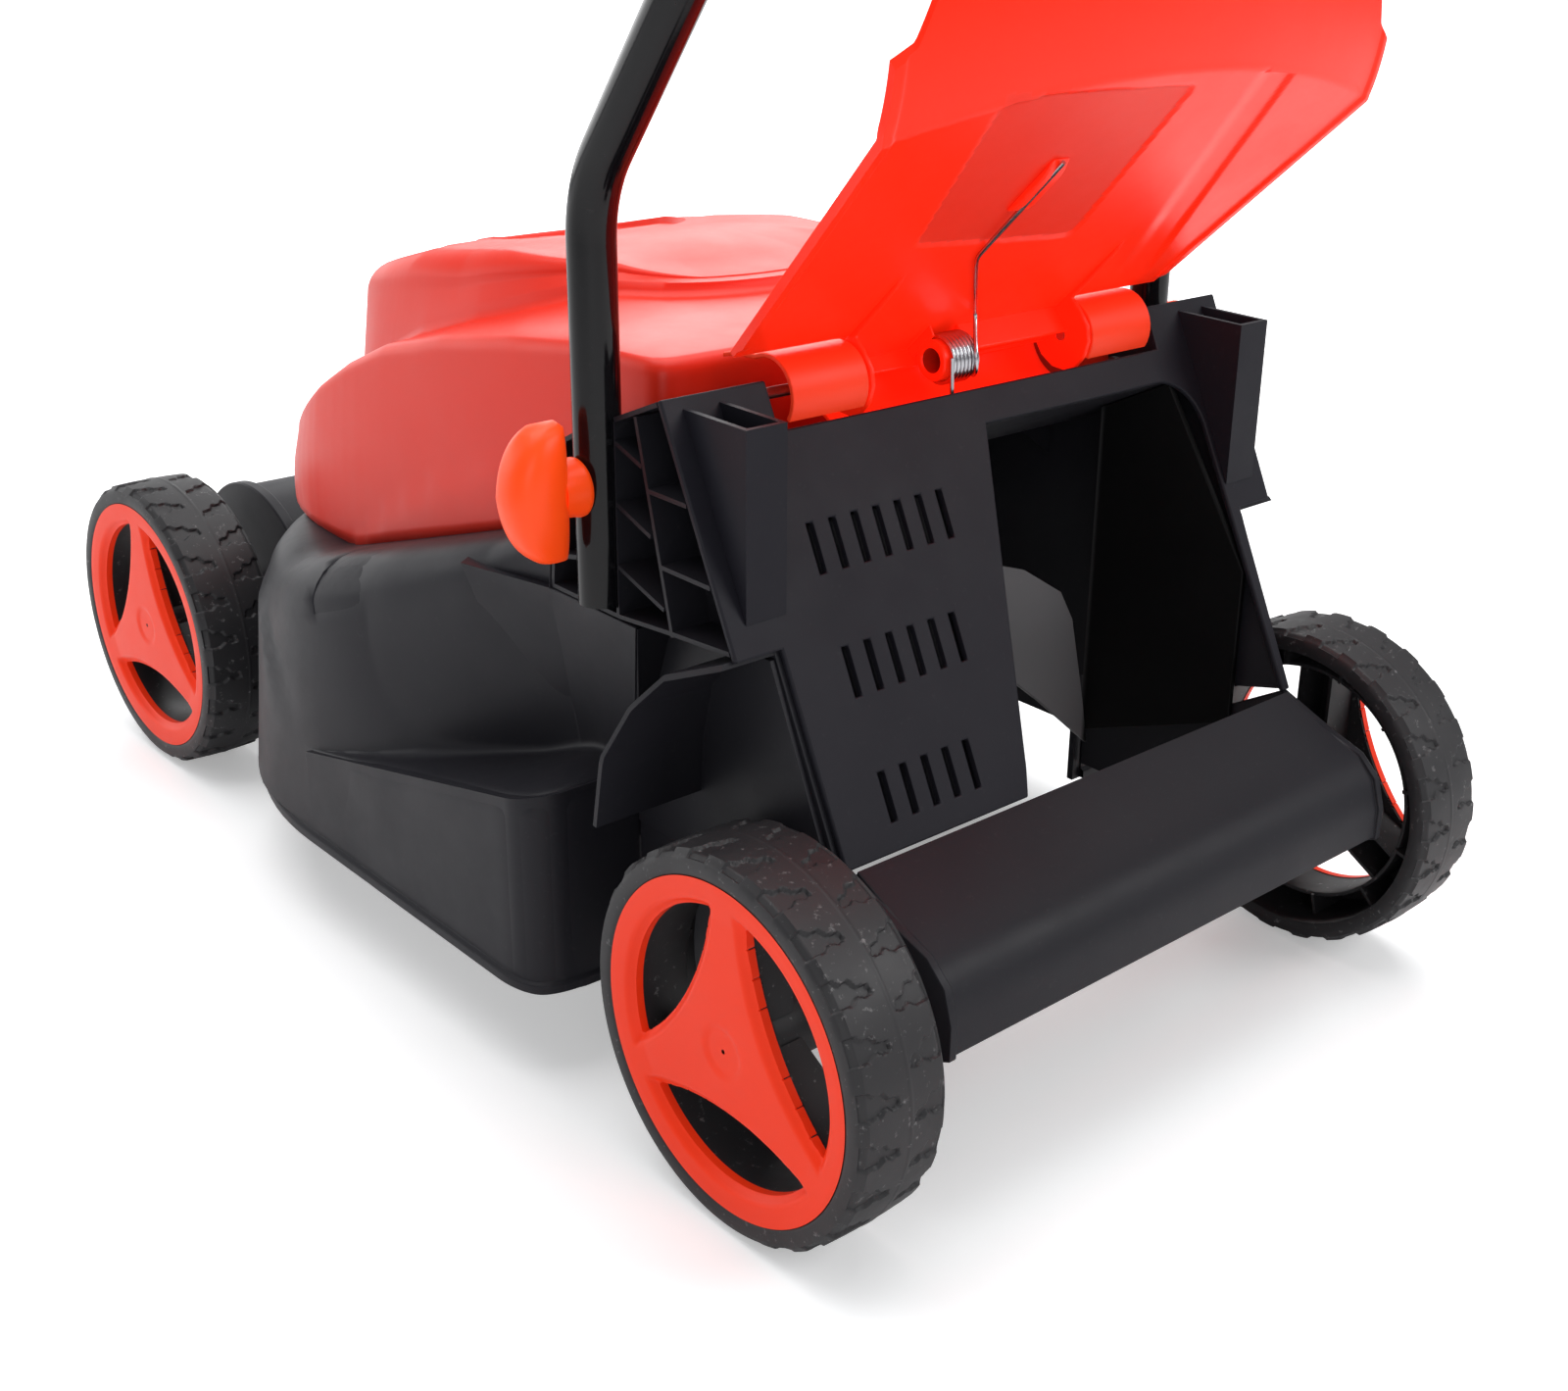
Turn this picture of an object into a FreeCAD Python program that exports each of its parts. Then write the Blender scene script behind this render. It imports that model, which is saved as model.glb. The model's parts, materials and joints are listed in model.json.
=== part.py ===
"""Electric push lawn mower with a rear discharge flap, built as separate pieces.

Millimetres. While building, +X is the operator's right, +Y the way the mower is pushed,
+Z up, with y = 0 over the rear axle and z = 0 on the ground. write_parts() then slides
every piece along Y, so that the origin is under the middle of the whole mower.
"""
import FreeCAD, Part
import math
import os

V = FreeCAD.Vector

# ---- driving dimensions ----------------------------------------------------------
WHEEL_R = 85.0
WHEEL_W = 45.5
AXLE_Z = 85.0
AXLE_R = 6.0
FRONT_AXLE_Y = 576.0
REAR_TRACK_X = 208.4          # outer face of a rear wheel
FRONT_TRACK_X = 186.2         # outer face of a front wheel
RUN_GAP = 0.05                # radial clearance of every turning fit

DECK_R = 208.0
DECK_Y = 335.0                # centre of the round blade chamber
RIM_Z = 46.0
WALL = 4.0
SHOULDER_R = 190.0            # the chamber wall leans in to this radius
TAPER_TOP_Z = 262.0
SHOULDER_ROUND = 26.0

PANEL_LEAN = 26.0             # the rear panel leans forward at its top
PANEL_FOOT = (-6.1, 147.0)    # y, z of the panel's lower edge
PANEL_T = 3.0
PANEL_LEN = 199.2
BRACKET_X = 171.3
BRACKET_IN_X = 150.0

HINGE_Y = 88.0
HINGE_Z = 318.0
HINGE_ROD_R = 2.5
FLAP_OPEN = 46.0              # the open flap leans back this far from upright
FLAP_LIFT = 12.0              # the flap's underside stands off the hinge axis
FLAP_T = 2.6

EAR_X = 69.0                  # outer face of a flap ear
EAR_T = 2.4

TUBE_R = 10.0
TUBE_WALL = 1.5
LOWER_X = 172.0
UPPER_X = 193.5
TUBE_Y = 123.0
TUBE_FOOT_Z = 231.0
BEND_Z = 401.0
HANDLE_LEAN = 37.5
LOWER_RUN = 330.0
UPPER_RUN = 430.0
PIVOT_BACK = 18.0             # the fold pivot is this far below the lower tube's end

BLADE_R = 188.0
SHAFT_R = 7.5

parts = {}


# ---- helpers ---------------------------------------------------------------------
def box(x0, x1, y0, y1, z0, z1):
    return Part.makeBox(x1 - x0, y1 - y0, z1 - z0, V(x0, y0, z0))


def cyl_x(x0, x1, y, z, r):
    return Part.makeCylinder(r, x1 - x0, V(x0, y, z), V(1, 0, 0))


def cyl_z(x, y, z0, z1, r):
    return Part.makeCylinder(r, z1 - z0, V(x, y, z0), V(0, 0, 1))


def tube_z(x, y, z0, z1, r_out, r_in):
    return cyl_z(x, y, z0, z1, r_out).cut(cyl_z(x, y, z0 - 1, z1 + 1, r_in))


def tube_x(x0, x1, y, z, r_out, r_in):
    return cyl_x(x0, x1, y, z, r_out).cut(cyl_x(x0 - 1, x1 + 1, y, z, r_in))


def closed_face(points):
    return Part.Face(Part.makePolygon(points + [points[0]]))


def prism_x(yz, x0, x1):
    """Extrude an outline in the YZ plane from x0 to x1."""
    face = closed_face([V(x0, y, z) for y, z in yz])
    return face.extrude(V(x1 - x0, 0, 0))


def prism_y(xz, y0, y1):
    face = closed_face([V(x, y0, z) for x, z in xz])
    return face.extrude(V(0, y1 - y0, 0))


def prism_z(xy, z0, z1):
    face = closed_face([V(x, y, z0) for x, y in xy])
    return face.extrude(V(0, 0, z1 - z0))


def mirrored(shape):
    return shape.mirror(V(0, 0, 0), V(1, 0, 0))


def fused(shapes):
    return shapes[0].multiFuse(shapes[1:]).removeSplitter()


def band(points, thickness):
    """Closed outline of a strip that follows the points, offset to their left."""
    normals = []
    for (a0, b0), (a1, b1) in zip(points, points[1:]):
        run = math.hypot(a1 - a0, b1 - b0)
        normals.append((-(b1 - b0) / run, (a1 - a0) / run))
    offset = []
    for i, (a, b) in enumerate(points):
        n0 = normals[max(i - 1, 0)]
        n1 = normals[min(i, len(normals) - 1)]
        m = (n0[0] + n1[0], n0[1] + n1[1])
        k = 2 * thickness / (m[0] ** 2 + m[1] ** 2)
        offset.append((a + m[0] * k, b + m[1] * k))
    return list(points) + offset[::-1]


def swept_tube(points, radius, r_out, r_in):
    """Round tube along straight runs joined by tangent arcs of one bend radius."""
    edges = []
    start = points[0]
    for before, corner, after in zip(points, points[1:], points[2:]):
        a = (corner - before).normalize()
        b = (after - corner).normalize()
        half = a.getAngle(b) / 2
        reach = radius * math.tan(half)
        p = corner - a * reach
        q = corner + b * reach
        bisector = (b - a).normalize()
        middle = corner + bisector * (radius / math.cos(half) - radius)
        edges.append(Part.LineSegment(start, p).toShape())
        edges.append(Part.Arc(p, middle, q).toShape())
        start = q
    edges.append(Part.LineSegment(start, points[-1]).toShape())
    path = Part.Wire(edges)
    direction = points[1] - points[0]

    def pipe(r):
        circle = Part.Wire(Part.makeCircle(r, points[0], direction))
        return path.makePipeShell([circle], True, False)

    outer = pipe(r_out)
    return outer.cut(pipe(r_in)) if r_in else outer


def add(name, shape):
    parts[name] = shape


def add_pair(name, left):
    add(name + "_left", left)
    add(name + "_right", mirrored(left))


def group(shapes):
    return Part.makeCompound(shapes)


def pair_group(left):
    return group([left, mirrored(left)])


# ---- directions of the leaning pieces --------------------------------------------
LEAN_SIN = math.sin(math.radians(PANEL_LEAN))
LEAN_COS = math.cos(math.radians(PANEL_LEAN))
FLAP_SIN = math.sin(math.radians(FLAP_OPEN))
FLAP_COS = math.cos(math.radians(FLAP_OPEN))
HANDLE_D = V(0, -math.sin(math.radians(HANDLE_LEAN)), math.cos(math.radians(HANDLE_LEAN)))
HANDLE_E = V(0, HANDLE_D.z, -HANDLE_D.y)
TUBE_BEND = V(0, TUBE_Y, BEND_Z)
LOWER_END = TUBE_BEND + HANDLE_D * LOWER_RUN
FOLD_PIVOT = LOWER_END - HANDLE_D * PIVOT_BACK
HANDLE_TOP = FOLD_PIVOT + HANDLE_D * UPPER_RUN


def panel_y(z):
    """y of the rear panel's outer face at height z."""
    return PANEL_FOOT[0] + (z - PANEL_FOOT[1]) * LEAN_SIN / LEAN_COS


def on_panel(shape):
    """Take a piece drawn upright, z measured up the panel, onto the leaning panel."""
    placed = shape.copy()
    placed.rotate(V(0, 0, 0), V(1, 0, 0), -PANEL_LEAN)
    placed.translate(V(0, PANEL_FOOT[0], PANEL_FOOT[1]))
    return placed


def on_flap(shape):
    """Take a piece drawn with y off the plate and z along it, onto the open flap."""
    placed = shape.copy()
    placed.rotate(V(0, 0, 0), V(1, 0, 0), FLAP_OPEN)
    placed.translate(V(0, HINGE_Y, HINGE_Z))
    return placed


# ---- deck ------------------------------------------------------------------------
DECK_TOP = [(62, 298), (130, 262), (385, 178.5), (560, 172)]
LEDGE_REAR_Y = 130.0
LEDGE_Z = 145.0
LEDGE_DROP = 0.24
WELL_R = 62.0
WELL_FLOOR_Z = 140.0


def under_deck_top(shape, lower):
    """Keep what is below the sloping top of the deck, lowered by the given amount."""
    top = [(y, z - lower) for y, z in DECK_TOP]
    outline = [(-60, 0), (-60, 360 - lower)] + top + [(700, top[-1][1]), (700, 0)]
    return shape.common(prism_x(outline, -260, 260))


def chamber(inset):
    height = TAPER_TOP_Z - RIM_Z
    cone = Part.makeCone(DECK_R - inset, SHOULDER_R - inset, height, V(0, DECK_Y, RIM_Z))
    solid = under_deck_top(cone, inset)
    upper = [e for e in solid.Edges if e.BoundBox.ZMin > RIM_Z + 20]
    return solid.makeFillet(SHOULDER_ROUND - inset, upper)


def skirt_block(inset):
    """Square rear corners outside the round chamber, with a ledge that falls forward."""
    y0 = LEDGE_REAR_Y + inset
    y1 = DECK_Y
    z0 = LEDGE_Z - LEDGE_DROP * inset - inset
    z1 = LEDGE_Z - LEDGE_DROP * (y1 - LEDGE_REAR_Y) - inset
    block = prism_x([(y0, RIM_Z), (y0, z0), (y1, z1), (y1, RIM_Z)], -DECK_R + inset, DECK_R - inset)
    corners = [e for e in block.Edges if abs(e.Vertexes[0].Y - y0) < 0.1 and abs(e.Vertexes[1].Y - y0) < 0.1]
    upright = [e for e in corners if abs(e.Vertexes[0].X - e.Vertexes[1].X) < 0.1]
    return block.makeFillet(20 - inset, upright)


def rear_body(inset):
    """Raised tunnel behind the chamber, from the rear panel forward."""
    y_low = panel_y(RIM_Z + 100) + PANEL_T / LEAN_COS
    foot = (y_low, RIM_Z + 100)
    top = (panel_y(298) + PANEL_T / LEAN_COS, 298)
    outline = [(LEDGE_REAR_Y, RIM_Z), (LEDGE_REAR_Y, 110), foot, top, (300, 298), (300, RIM_Z)]
    half = BRACKET_IN_X - inset
    return under_deck_top(prism_x(outline, -half, half), inset)


def flare():
    """The chamber wall widens at its rear to carry the handle bracket."""
    low = [(-148, 130), (-150, 130), (-150, 168), (-158, 200), (-148, 215)]
    high = [(-148, 100), (-171, 100), (-171, 162), (-184, 215), (-148, 240)]
    wires = []
    for outline, z in ((low, 140), (high, 225)):
        wires.append(Part.makePolygon([V(x, y, z) for x, y in outline + outline[:1]]))
    return Part.makeLoft(wires, True, True)


def deck_housing():
    left_flare = flare()
    outer = fused([chamber(0), skirt_block(0), rear_body(0), left_flare, mirrored(left_flare)])
    inner = fused([chamber(WALL), skirt_block(WALL), rear_body(WALL)])
    tunnel_mouth = prism_x([(-40, RIM_Z - 20), (-40, 300), (62, 292), (130, 258), (130, RIM_Z - 20)],
                           -BRACKET_IN_X + WALL, BRACKET_IN_X - WALL)
    shell = outer.cut(inner).cut(tunnel_mouth)
    well = under_deck_top(cyl_z(0, DECK_Y, WELL_FLOOR_Z, 300, WELL_R), WALL / 2)
    shell = shell.fuse(well).cut(cyl_z(0, DECK_Y, WELL_FLOOR_Z + WALL, 320, WELL_R - WALL))
    shell = shell.cut(cyl_z(0, DECK_Y, 100, 200, 12))
    bead = cyl_z(0, DECK_Y, RIM_Z, RIM_Z + 5, DECK_R + 2).cut(cyl_z(0, DECK_Y, RIM_Z - 1, 70, DECK_R - WALL))
    bead = bead.cut(box(-260, 260, 0, DECK_Y, 0, 100))
    side_bead = box(-DECK_R - 2, -DECK_R + WALL, 160, DECK_Y, RIM_Z, RIM_Z + 5)
    return fused([shell, bead, side_bead, mirrored(side_bead)])


def chute_partition():
    outline = [(-8, 286), (-11, 286), (-44, 150), (-41, 150)]
    plate = prism_y(outline, 40, 190)
    behind = [(panel_y(140) + 4, 140), (panel_y(300) + 4, 300), (240, 200), (240, 140)]
    plate = plate.common(prism_x(behind, -60, 20))
    return under_deck_top(plate, WALL + 0.5)


def chute_deflector():
    outline = [(-37, 205), (20, 214), (60, 200), (88, 182), (98, 165), (110, 118), (116, 90), (75, 126),
               (44, 151), (-42, 165)]
    return prism_y(outline, 96, 99)


def chute_side():
    """Upright wall that narrows the chute on its right, from the deflector to the rear panel."""
    wall = prism_z([(112.6, 99.3), (115.6, 99.3), (143.4, 24), (140.4, 24)], 90, 310)
    y_low = panel_y(130) + PANEL_T / LEAN_COS + 0.3
    y_high = panel_y(310) + PANEL_T / LEAN_COS + 0.3
    wall = wall.common(prism_x([(y_low, 130), (y_high, 310), (110, 310), (110, 98), (98, 98)], 100, 160))
    return under_deck_top(wall, WALL + 0.5)


add("deck_housing", deck_housing())
add("chute_baffles", group([chute_partition(), chute_deflector(), chute_side()]))


# ---- rear panel, brackets, posts -------------------------------------------------
PANEL_X = 147.7
SLOT_ROWS = ((7, 139.1), (6, 86.8), (5, 33.4))
SLOT_PITCH = 12.2
SLOT_W = 4.0
SLOT_LEN = 21.5
SLOT_X = -119.0


def rear_panel():
    outline = [(-PANEL_X, 0), (-PANEL_X, 93.1), (-BRACKET_X, 93.1), (-BRACKET_X, PANEL_LEN), (-119, PANEL_LEN),
               (-119, 178), (119, 178), (119, PANEL_LEN), (BRACKET_X, PANEL_LEN), (BRACKET_X, 93.1),
               (PANEL_X, 93.1), (PANEL_X, 0)]
    panel = prism_y(outline, 0, PANEL_T)
    mouth = prism_y([(-42, -1), (-38, 12), (-5, 162), (138, 162), (142.5, -1)], -1, PANEL_T + 1)
    corner = [e for e in mouth.Edges if abs(e.Vertexes[0].X - 138) < 0.1 and abs(e.Vertexes[1].X - 138) < 0.1]
    mouth = mouth.makeFillet(26, corner)
    panel = panel.cut(mouth)
    slots = []
    for count, top in SLOT_ROWS:
        for i in range(count):
            x = SLOT_X + i * SLOT_PITCH
            slots.append(box(x, x + SLOT_W, -1, PANEL_T + 1, top - SLOT_LEN, top))
    return on_panel(panel.cut(group(slots)))


RIB = 2.0


def bracket():
    """Left handle bracket: a base wall with an open lattice of ribs on its outer side."""
    top_rear = (panel_y(323) + PANEL_T, 323)
    foot = (panel_y(232) + PANEL_T, 232)
    rim = [foot, (79, 229), (112, 226), (135, 226), (162, 226), (158, 262), (148, 296), (115, 309), top_rear]
    base = prism_x(rim, -BRACKET_IN_X - RIB, -BRACKET_IN_X - 0.1)
    ribs = []
    lines = [[foot, (79, 229), (112, 226), (135, 226), (162, 226)],
             [(162, 226), (158, 262), (148, 296), (137, 302)],
             [top_rear, (112, 310.4)],
             [(112, 310.4), (112, 226)],
             [(137, 302), (137, 226)],
             [(97, 316), (75, 229)],
             [(112, 303), (94, 297)], [(112, 277), (89, 269)], [(112, 250), (81, 240)],
             [(91, 288), (panel_y(288) + PANEL_T, 288)], [(84, 258), (panel_y(258) + PANEL_T, 258)],
             [(160, 242), (137, 247)], [(158, 268), (137, 272)]]
    for line in lines:
        ribs.append(prism_x(band(line, RIB), -BRACKET_X, -BRACKET_IN_X - 1))
    lattice = fused([base] + ribs)
    behind_panel = [(panel_y(200) + PANEL_T / LEAN_COS + 0.02, 200),
                    (panel_y(340) + PANEL_T / LEAN_COS + 0.02, 340), (240, 340), (240, 200)]
    lattice = lattice.common(prism_x(behind_panel, -200, -100))
    groove = cyl_z(-LOWER_X, TUBE_Y, TUBE_FOOT_Z - 0.5, 340, TUBE_R + 0.3)
    bolt_hole = cyl_x(-200, -140, TUBE_Y, 283, 3.2)
    return lattice.cut(groove).cut(bolt_hole)


def catcher_post():
    """Upright channel behind the panel for the grass catcher's hooks."""
    web = [(40, 242.5), (40, 321.5), (42.5, 321.5), (42.5, 247.5)]
    flange = [(40, 242.5), (40, 321.5), (panel_y(321.5) - 0.02, 321.5)]
    pieces = [prism_x(web, -162, -141.5), prism_x(flange, -162, -159.5), prism_x(flange, -144, -141.5)]
    return fused(pieces)


def wheel_arch():
    """Curved fin that shields the rear wheel, trimmed to a slanting outer edge."""
    fin = prism_x(band([(37, 228), (64, 217), (74, 203), (80, 180), (82, 152)], 2.5), -207, -148)
    trim = prism_y([(-148, 235), (-172, 235), (-192, 207), (-204, 184), (-207, 150), (-148, 150)], 0, 120)
    wall = prism_x([(2, 150), (37, 226), (96, 226), (128, 200), (128, 120), (60, 120), (20, 140)], -152.5, -150.1)
    arch = fused([fin.common(trim), wall]).cut(parts["deck_housing"])
    return max(arch.Solids, key=lambda solid: solid.Volume)


add("rear_panel", rear_panel())
add_pair("handle_bracket", bracket())
add("catcher_posts", pair_group(catcher_post()))
add("wheel_arches", pair_group(wheel_arch()))


# ---- axles and their covers ------------------------------------------------------
def rear_axle_cover():
    profile = [(-7.5, 146.5), (-35, 134), (-52, 127.5), (-61.5, 118), (-66, 104), (-66.5, 89)]
    skin = prism_x(band(profile, 3.0), -143.6, 143.6)
    plate = [(-4, 146), (-35, 134), (-52.5, 128.5), (-63, 119), (-67.5, 104), (-67.5, 88), (-20, 66), (20, 66),
             (40, 90), (40, 120)]
    ends = []
    for x0, x1 in ((-147.6, -143.6), (143.6, 147.6)):
        ends.append(prism_x(plate, x0, x1))
    bosses = [cyl_x(-162, -147.6, 0, AXLE_Z, 15), cyl_x(147.6, 162, 0, AXLE_Z, 15)]
    cover = fused([skin] + ends + bosses)
    return cover.cut(cyl_x(-170, 170, 0, AXLE_Z, AXLE_R + RUN_GAP))


def front_axle_housing():
    y = FRONT_AXLE_Y
    barrel = cyl_x(-110, 110, y, AXLE_Z, 70).cut(cyl_x(-106, 106, y, AXLE_Z, 66.5))
    rings = []
    for side in (-1, 1):
        x0, x1 = sorted((side * 106, side * 113))
        rings.append(cyl_x(x0, x1, y, AXLE_Z, 73))
        x0, x1 = sorted((side * 113, side * 139.6))
        rings.append(cyl_x(x0, x1, y, AXLE_Z, 16))
    body = fused([barrel] + rings)
    body = body.cut(box(-150, 150, y - 90, y + 90, 0, 66))
    body = body.cut(cyl_x(-150, 150, y, AXLE_Z, AXLE_R + RUN_GAP))
    keep_off = cyl_z(0, DECK_Y, 0, 400, DECK_R + 2.3)
    return body.cut(keep_off)


def axle(y, outer_x):
    end = outer_x - 5.5
    return cyl_x(-end, end, y, AXLE_Z, AXLE_R)


def axle_nuts():
    nuts = []
    for y, outer_x in ((0, REAR_TRACK_X), (FRONT_AXLE_Y, FRONT_TRACK_X)):
        nut = tube_x(-outer_x + 6.5, -outer_x + 10.5, y, AXLE_Z, 9.5, AXLE_R)
        nuts.extend([nut, mirrored(nut)])
    return group(nuts)


add("rear_axle_cover", rear_axle_cover())
add("front_axle_housing", front_axle_housing())
add("rear_axle", axle(0, REAR_TRACK_X))
add("front_axle", axle(FRONT_AXLE_Y, FRONT_TRACK_X))
add("axle_nuts", axle_nuts())


# ---- wheels ----------------------------------------------------------------------
RIM_IN_R = 73.8
WINDOW_R = 61.0
LENS_R = 123.0
LENS_AWAY = 153.0


def wheel_windows():
    """Three lens-shaped windows through a wheel, drawn about the X axis at the origin."""
    lenses = []
    for i in range(3):
        angle = math.radians(30 + 120 * i)
        lens = cyl_x(-5, 60, LENS_AWAY * math.cos(angle), LENS_AWAY * math.sin(angle), LENS_R)
        lenses.append(lens.common(cyl_x(-5, 60, 0, 0, WINDOW_R)))
    return group(lenses)


def wheel_body():
    """Left wheel, outer face at x = 0, inner face at x = WHEEL_W."""
    outline = [(0, RIM_IN_R), (0, WHEEL_R - 5), (1.5, WHEEL_R - 1.5), (5, WHEEL_R), (WHEEL_W - 5, WHEEL_R),
               (WHEEL_W - 1.5, WHEEL_R - 1.5), (WHEEL_W, WHEEL_R - 5), (WHEEL_W, RIM_IN_R)]
    ring = closed_face([V(x, 0, r) for x, r in outline]).revolve(V(0, 0, 0), V(1, 0, 0), 360)
    web = cyl_x(5, 9, 0, 0, RIM_IN_R + 0.5)
    inner_ring = tube_x(8, 32, 0, 0, WINDOW_R + 3, WINDOW_R + 0.2)
    ribs = []
    for i in range(12):
        rib = box(8, 34, -1, 1, WINDOW_R + 1, RIM_IN_R + 0.5)
        rib.rotate(V(0, 0, 0), V(1, 0, 0), 30 * i + 15)
        ribs.append(rib)
    for i in range(3):
        for offset in (-9, 9):
            rib = box(8, 30, offset - 1, offset + 1, 10, WINDOW_R + 1)
            rib.rotate(V(0, 0, 0), V(1, 0, 0), 120 * i + 120)
            ribs.append(rib)
    hub = cyl_x(3.2, WHEEL_W - 0.4, 0, 0, 15)
    body = fused([ring, web, inner_ring, hub] + ribs)
    body = body.cut(wheel_windows()).cut(cyl_x(3.0, 11, 0, 0, 10.5))
    return body.cut(cyl_x(-1, 60, 0, 0, AXLE_R + RUN_GAP))


def wheel_cap():
    """Dished disc that clips into the outer face of a wheel."""
    front = [(0, 3.0), (10, 3.0), (14, 1.6), (40, 1.8), (62, 2.0), (67, 0.8), (RIM_IN_R - 0.2, 0.6)]
    back = [(RIM_IN_R - 0.2, 4.9), (62, 4.9), (16, 4.9), (0, 4.9)]
    face = closed_face([V(x, 0, r) for r, x in front + back])
    disc = face.revolve(V(0, 0, 0), V(1, 0, 0), 360)
    relief = cyl_x(3.15, 6, 0, 0, 15.2)
    return disc.cut(relief).cut(wheel_windows())


def wheels():
    body = wheel_body()
    cap = wheel_cap()
    for end, y, outer_x in (("rear", 0, REAR_TRACK_X), ("front", FRONT_AXLE_Y, FRONT_TRACK_X)):
        for name, shape in (("wheel", body), ("wheel_cap", cap)):
            placed = shape.copy()
            placed.translate(V(-outer_x, y, AXLE_Z))
            add_pair(name + "_" + end, placed)


wheels()


# ---- orange motor cover ----------------------------------------------------------
COVER_T = 3.0
LOWER_OUTLINE = [(0, 548), (60, 544), (98, 530), (124, 500), (142, 450), (148, 400), (150, 340), (150, 250),
                 (146, 170), (146, 114)]
LOWER_TOP = [(560, 190), (520, 205), (470, 236), (430, 258), (392, 276), (350, 293), (292, 308), (228, 320),
             (170, 328), (100, 332)]
UPPER_OUTLINE = [(0, 500), (50, 494), (88, 470), (108, 430), (114, 380), (108, 320), (92, 262), (60, 218), (0, 204)]
UPPER_TOP = [(510, 280), (480, 300), (440, 316), (380, 331), (300, 341), (240, 344), (214, 336), (190, 322)]


def cover_solid(half_outline, top, inset):
    left = [(-x, y) for x, y in half_outline[::-1] if x > 0]
    loop = half_outline + left
    face = closed_face([V(x, y, 150) for x, y in loop])
    if inset:
        face = face.makeOffset2D(-inset)
    solid = face.extrude(V(0, 0, 250))
    cap = [(y, z - inset) for y, z in top]
    return solid.common(prism_x([(620, 0), (620, cap[0][1])] + cap + [(60, cap[-1][1]), (60, 0)], -200, 200))


def above_deck(gap):
    top = [(y, z + gap) for y, z in DECK_TOP]
    outline = [(-60, 400), (-60, 298 + gap)] + top + [(700, top[-1][1]), (700, 400)]
    return prism_x(outline, -260, 260)


def motor_cover():
    outer = cover_solid(LOWER_OUTLINE, LOWER_TOP, 0).fuse(cover_solid(UPPER_OUTLINE, UPPER_TOP, 0))
    inner = cover_solid(LOWER_OUTLINE, LOWER_TOP, COVER_T).fuse(cover_solid(UPPER_OUTLINE, UPPER_TOP, COVER_T))
    shell = outer.cut(inner).common(above_deck(0.3))
    floor_top = [(y, z - 2.5) for y, z in UPPER_TOP]
    floor = cover_solid(UPPER_OUTLINE, floor_top, 0).cut(cover_solid(UPPER_OUTLINE, floor_top, COVER_T))
    floor = floor.common(cyl_z(0, 379, 250, 400, 52))
    return shell.cut(cyl_z(0, 379, 290, 400, 50)).fuse(floor).removeSplitter()


def hinge_cover():
    """Half-round cap over one of the flap's hinge pins."""
    cap = cyl_x(-118, -73, HINGE_Y, HINGE_Z, 16).cut(cyl_x(-119, -72, HINGE_Y, HINGE_Z, 13))
    below = box(-119, -72, HINGE_Y - 4, HINGE_Y + 20, HINGE_Z - 20, HINGE_Z)
    cap = cap.cut(below)
    ends = [cyl_x(-118, -115, HINGE_Y, HINGE_Z, 14), cyl_x(-76, -73, HINGE_Y, HINGE_Z, 14)]
    tab = box(-118, -73, HINGE_Y + 12, 113.7, 326, 329)
    piece = fused([cap, tab] + ends)
    return piece.cut(cyl_x(-130, -60, HINGE_Y, HINGE_Z, HINGE_ROD_R + RUN_GAP))


add("motor_cover", motor_cover())
add("hinge_covers", pair_group(hinge_cover()))
add("hinge_pins", pair_group(cyl_x(-117, -66, HINGE_Y, HINGE_Z, HINGE_ROD_R)))


# ---- rear flap and its spring ----------------------------------------------------
BOSS_X0 = -30.0
BOSS_X1 = -3.0


def rear_flap():
    """Drawn closed up on z (along the plate) and y (outward); on_flap() sets it open."""
    lift = FLAP_LIFT
    plate = prism_y([(-131, 14), (131, 14), (146, 160), (-146, 160)], lift, lift + FLAP_T)
    middle = box(-EAR_X, EAR_X, lift, lift + FLAP_T, -14, 14.5)
    hood_line = [(lift, 159), (lift + 3, 170), (24, 182), (38, 196), (47, 212), (51, 226)]
    hood = prism_x(band(hood_line, -FLAP_T), -146, 146)
    hood_plan = [(-146, 158), (-146, 176), (-134, 182), (-122, 205), (-96, 222), (-50, 230), (50, 230), (96, 222),
                 (122, 205), (134, 182), (146, 176), (146, 158)]
    hood = hood.common(prism_y(hood_plan, 0, 80))
    ears = []
    for x in (-EAR_X, EAR_X - EAR_T):
        ear = prism_x([(lift + 1, 60), (9.9, 50), (9.9, 17), (4, 15.5), (-5, 12), (-8, 4), (-8, -3), (0, -9),
                       (8, -9), (lift + 1, -12)], x, x + EAR_T)
        ears.append(ear)
    boss = tube_x(BOSS_X0, BOSS_X1, 0, 0, 9, 5.2)
    boss_web = box(BOSS_X0, BOSS_X0 + 3, 7, lift + 1, -8, 8)
    guide = prism_x([(lift + 0.5, 96), (9.9, 100), (9.9, 124), (lift + 0.5, 130)], -34, -24)
    flap = fused([plate, middle, hood, boss, boss_web, guide] + ears)
    flap = flap.cut(cyl_x(-140, 140, 0, 0, HINGE_ROD_R + RUN_GAP))
    return on_flap(flap)


SPRING_R = 10.5
WIRE_R = 1.1
SPRING_TURNS = 5


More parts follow.
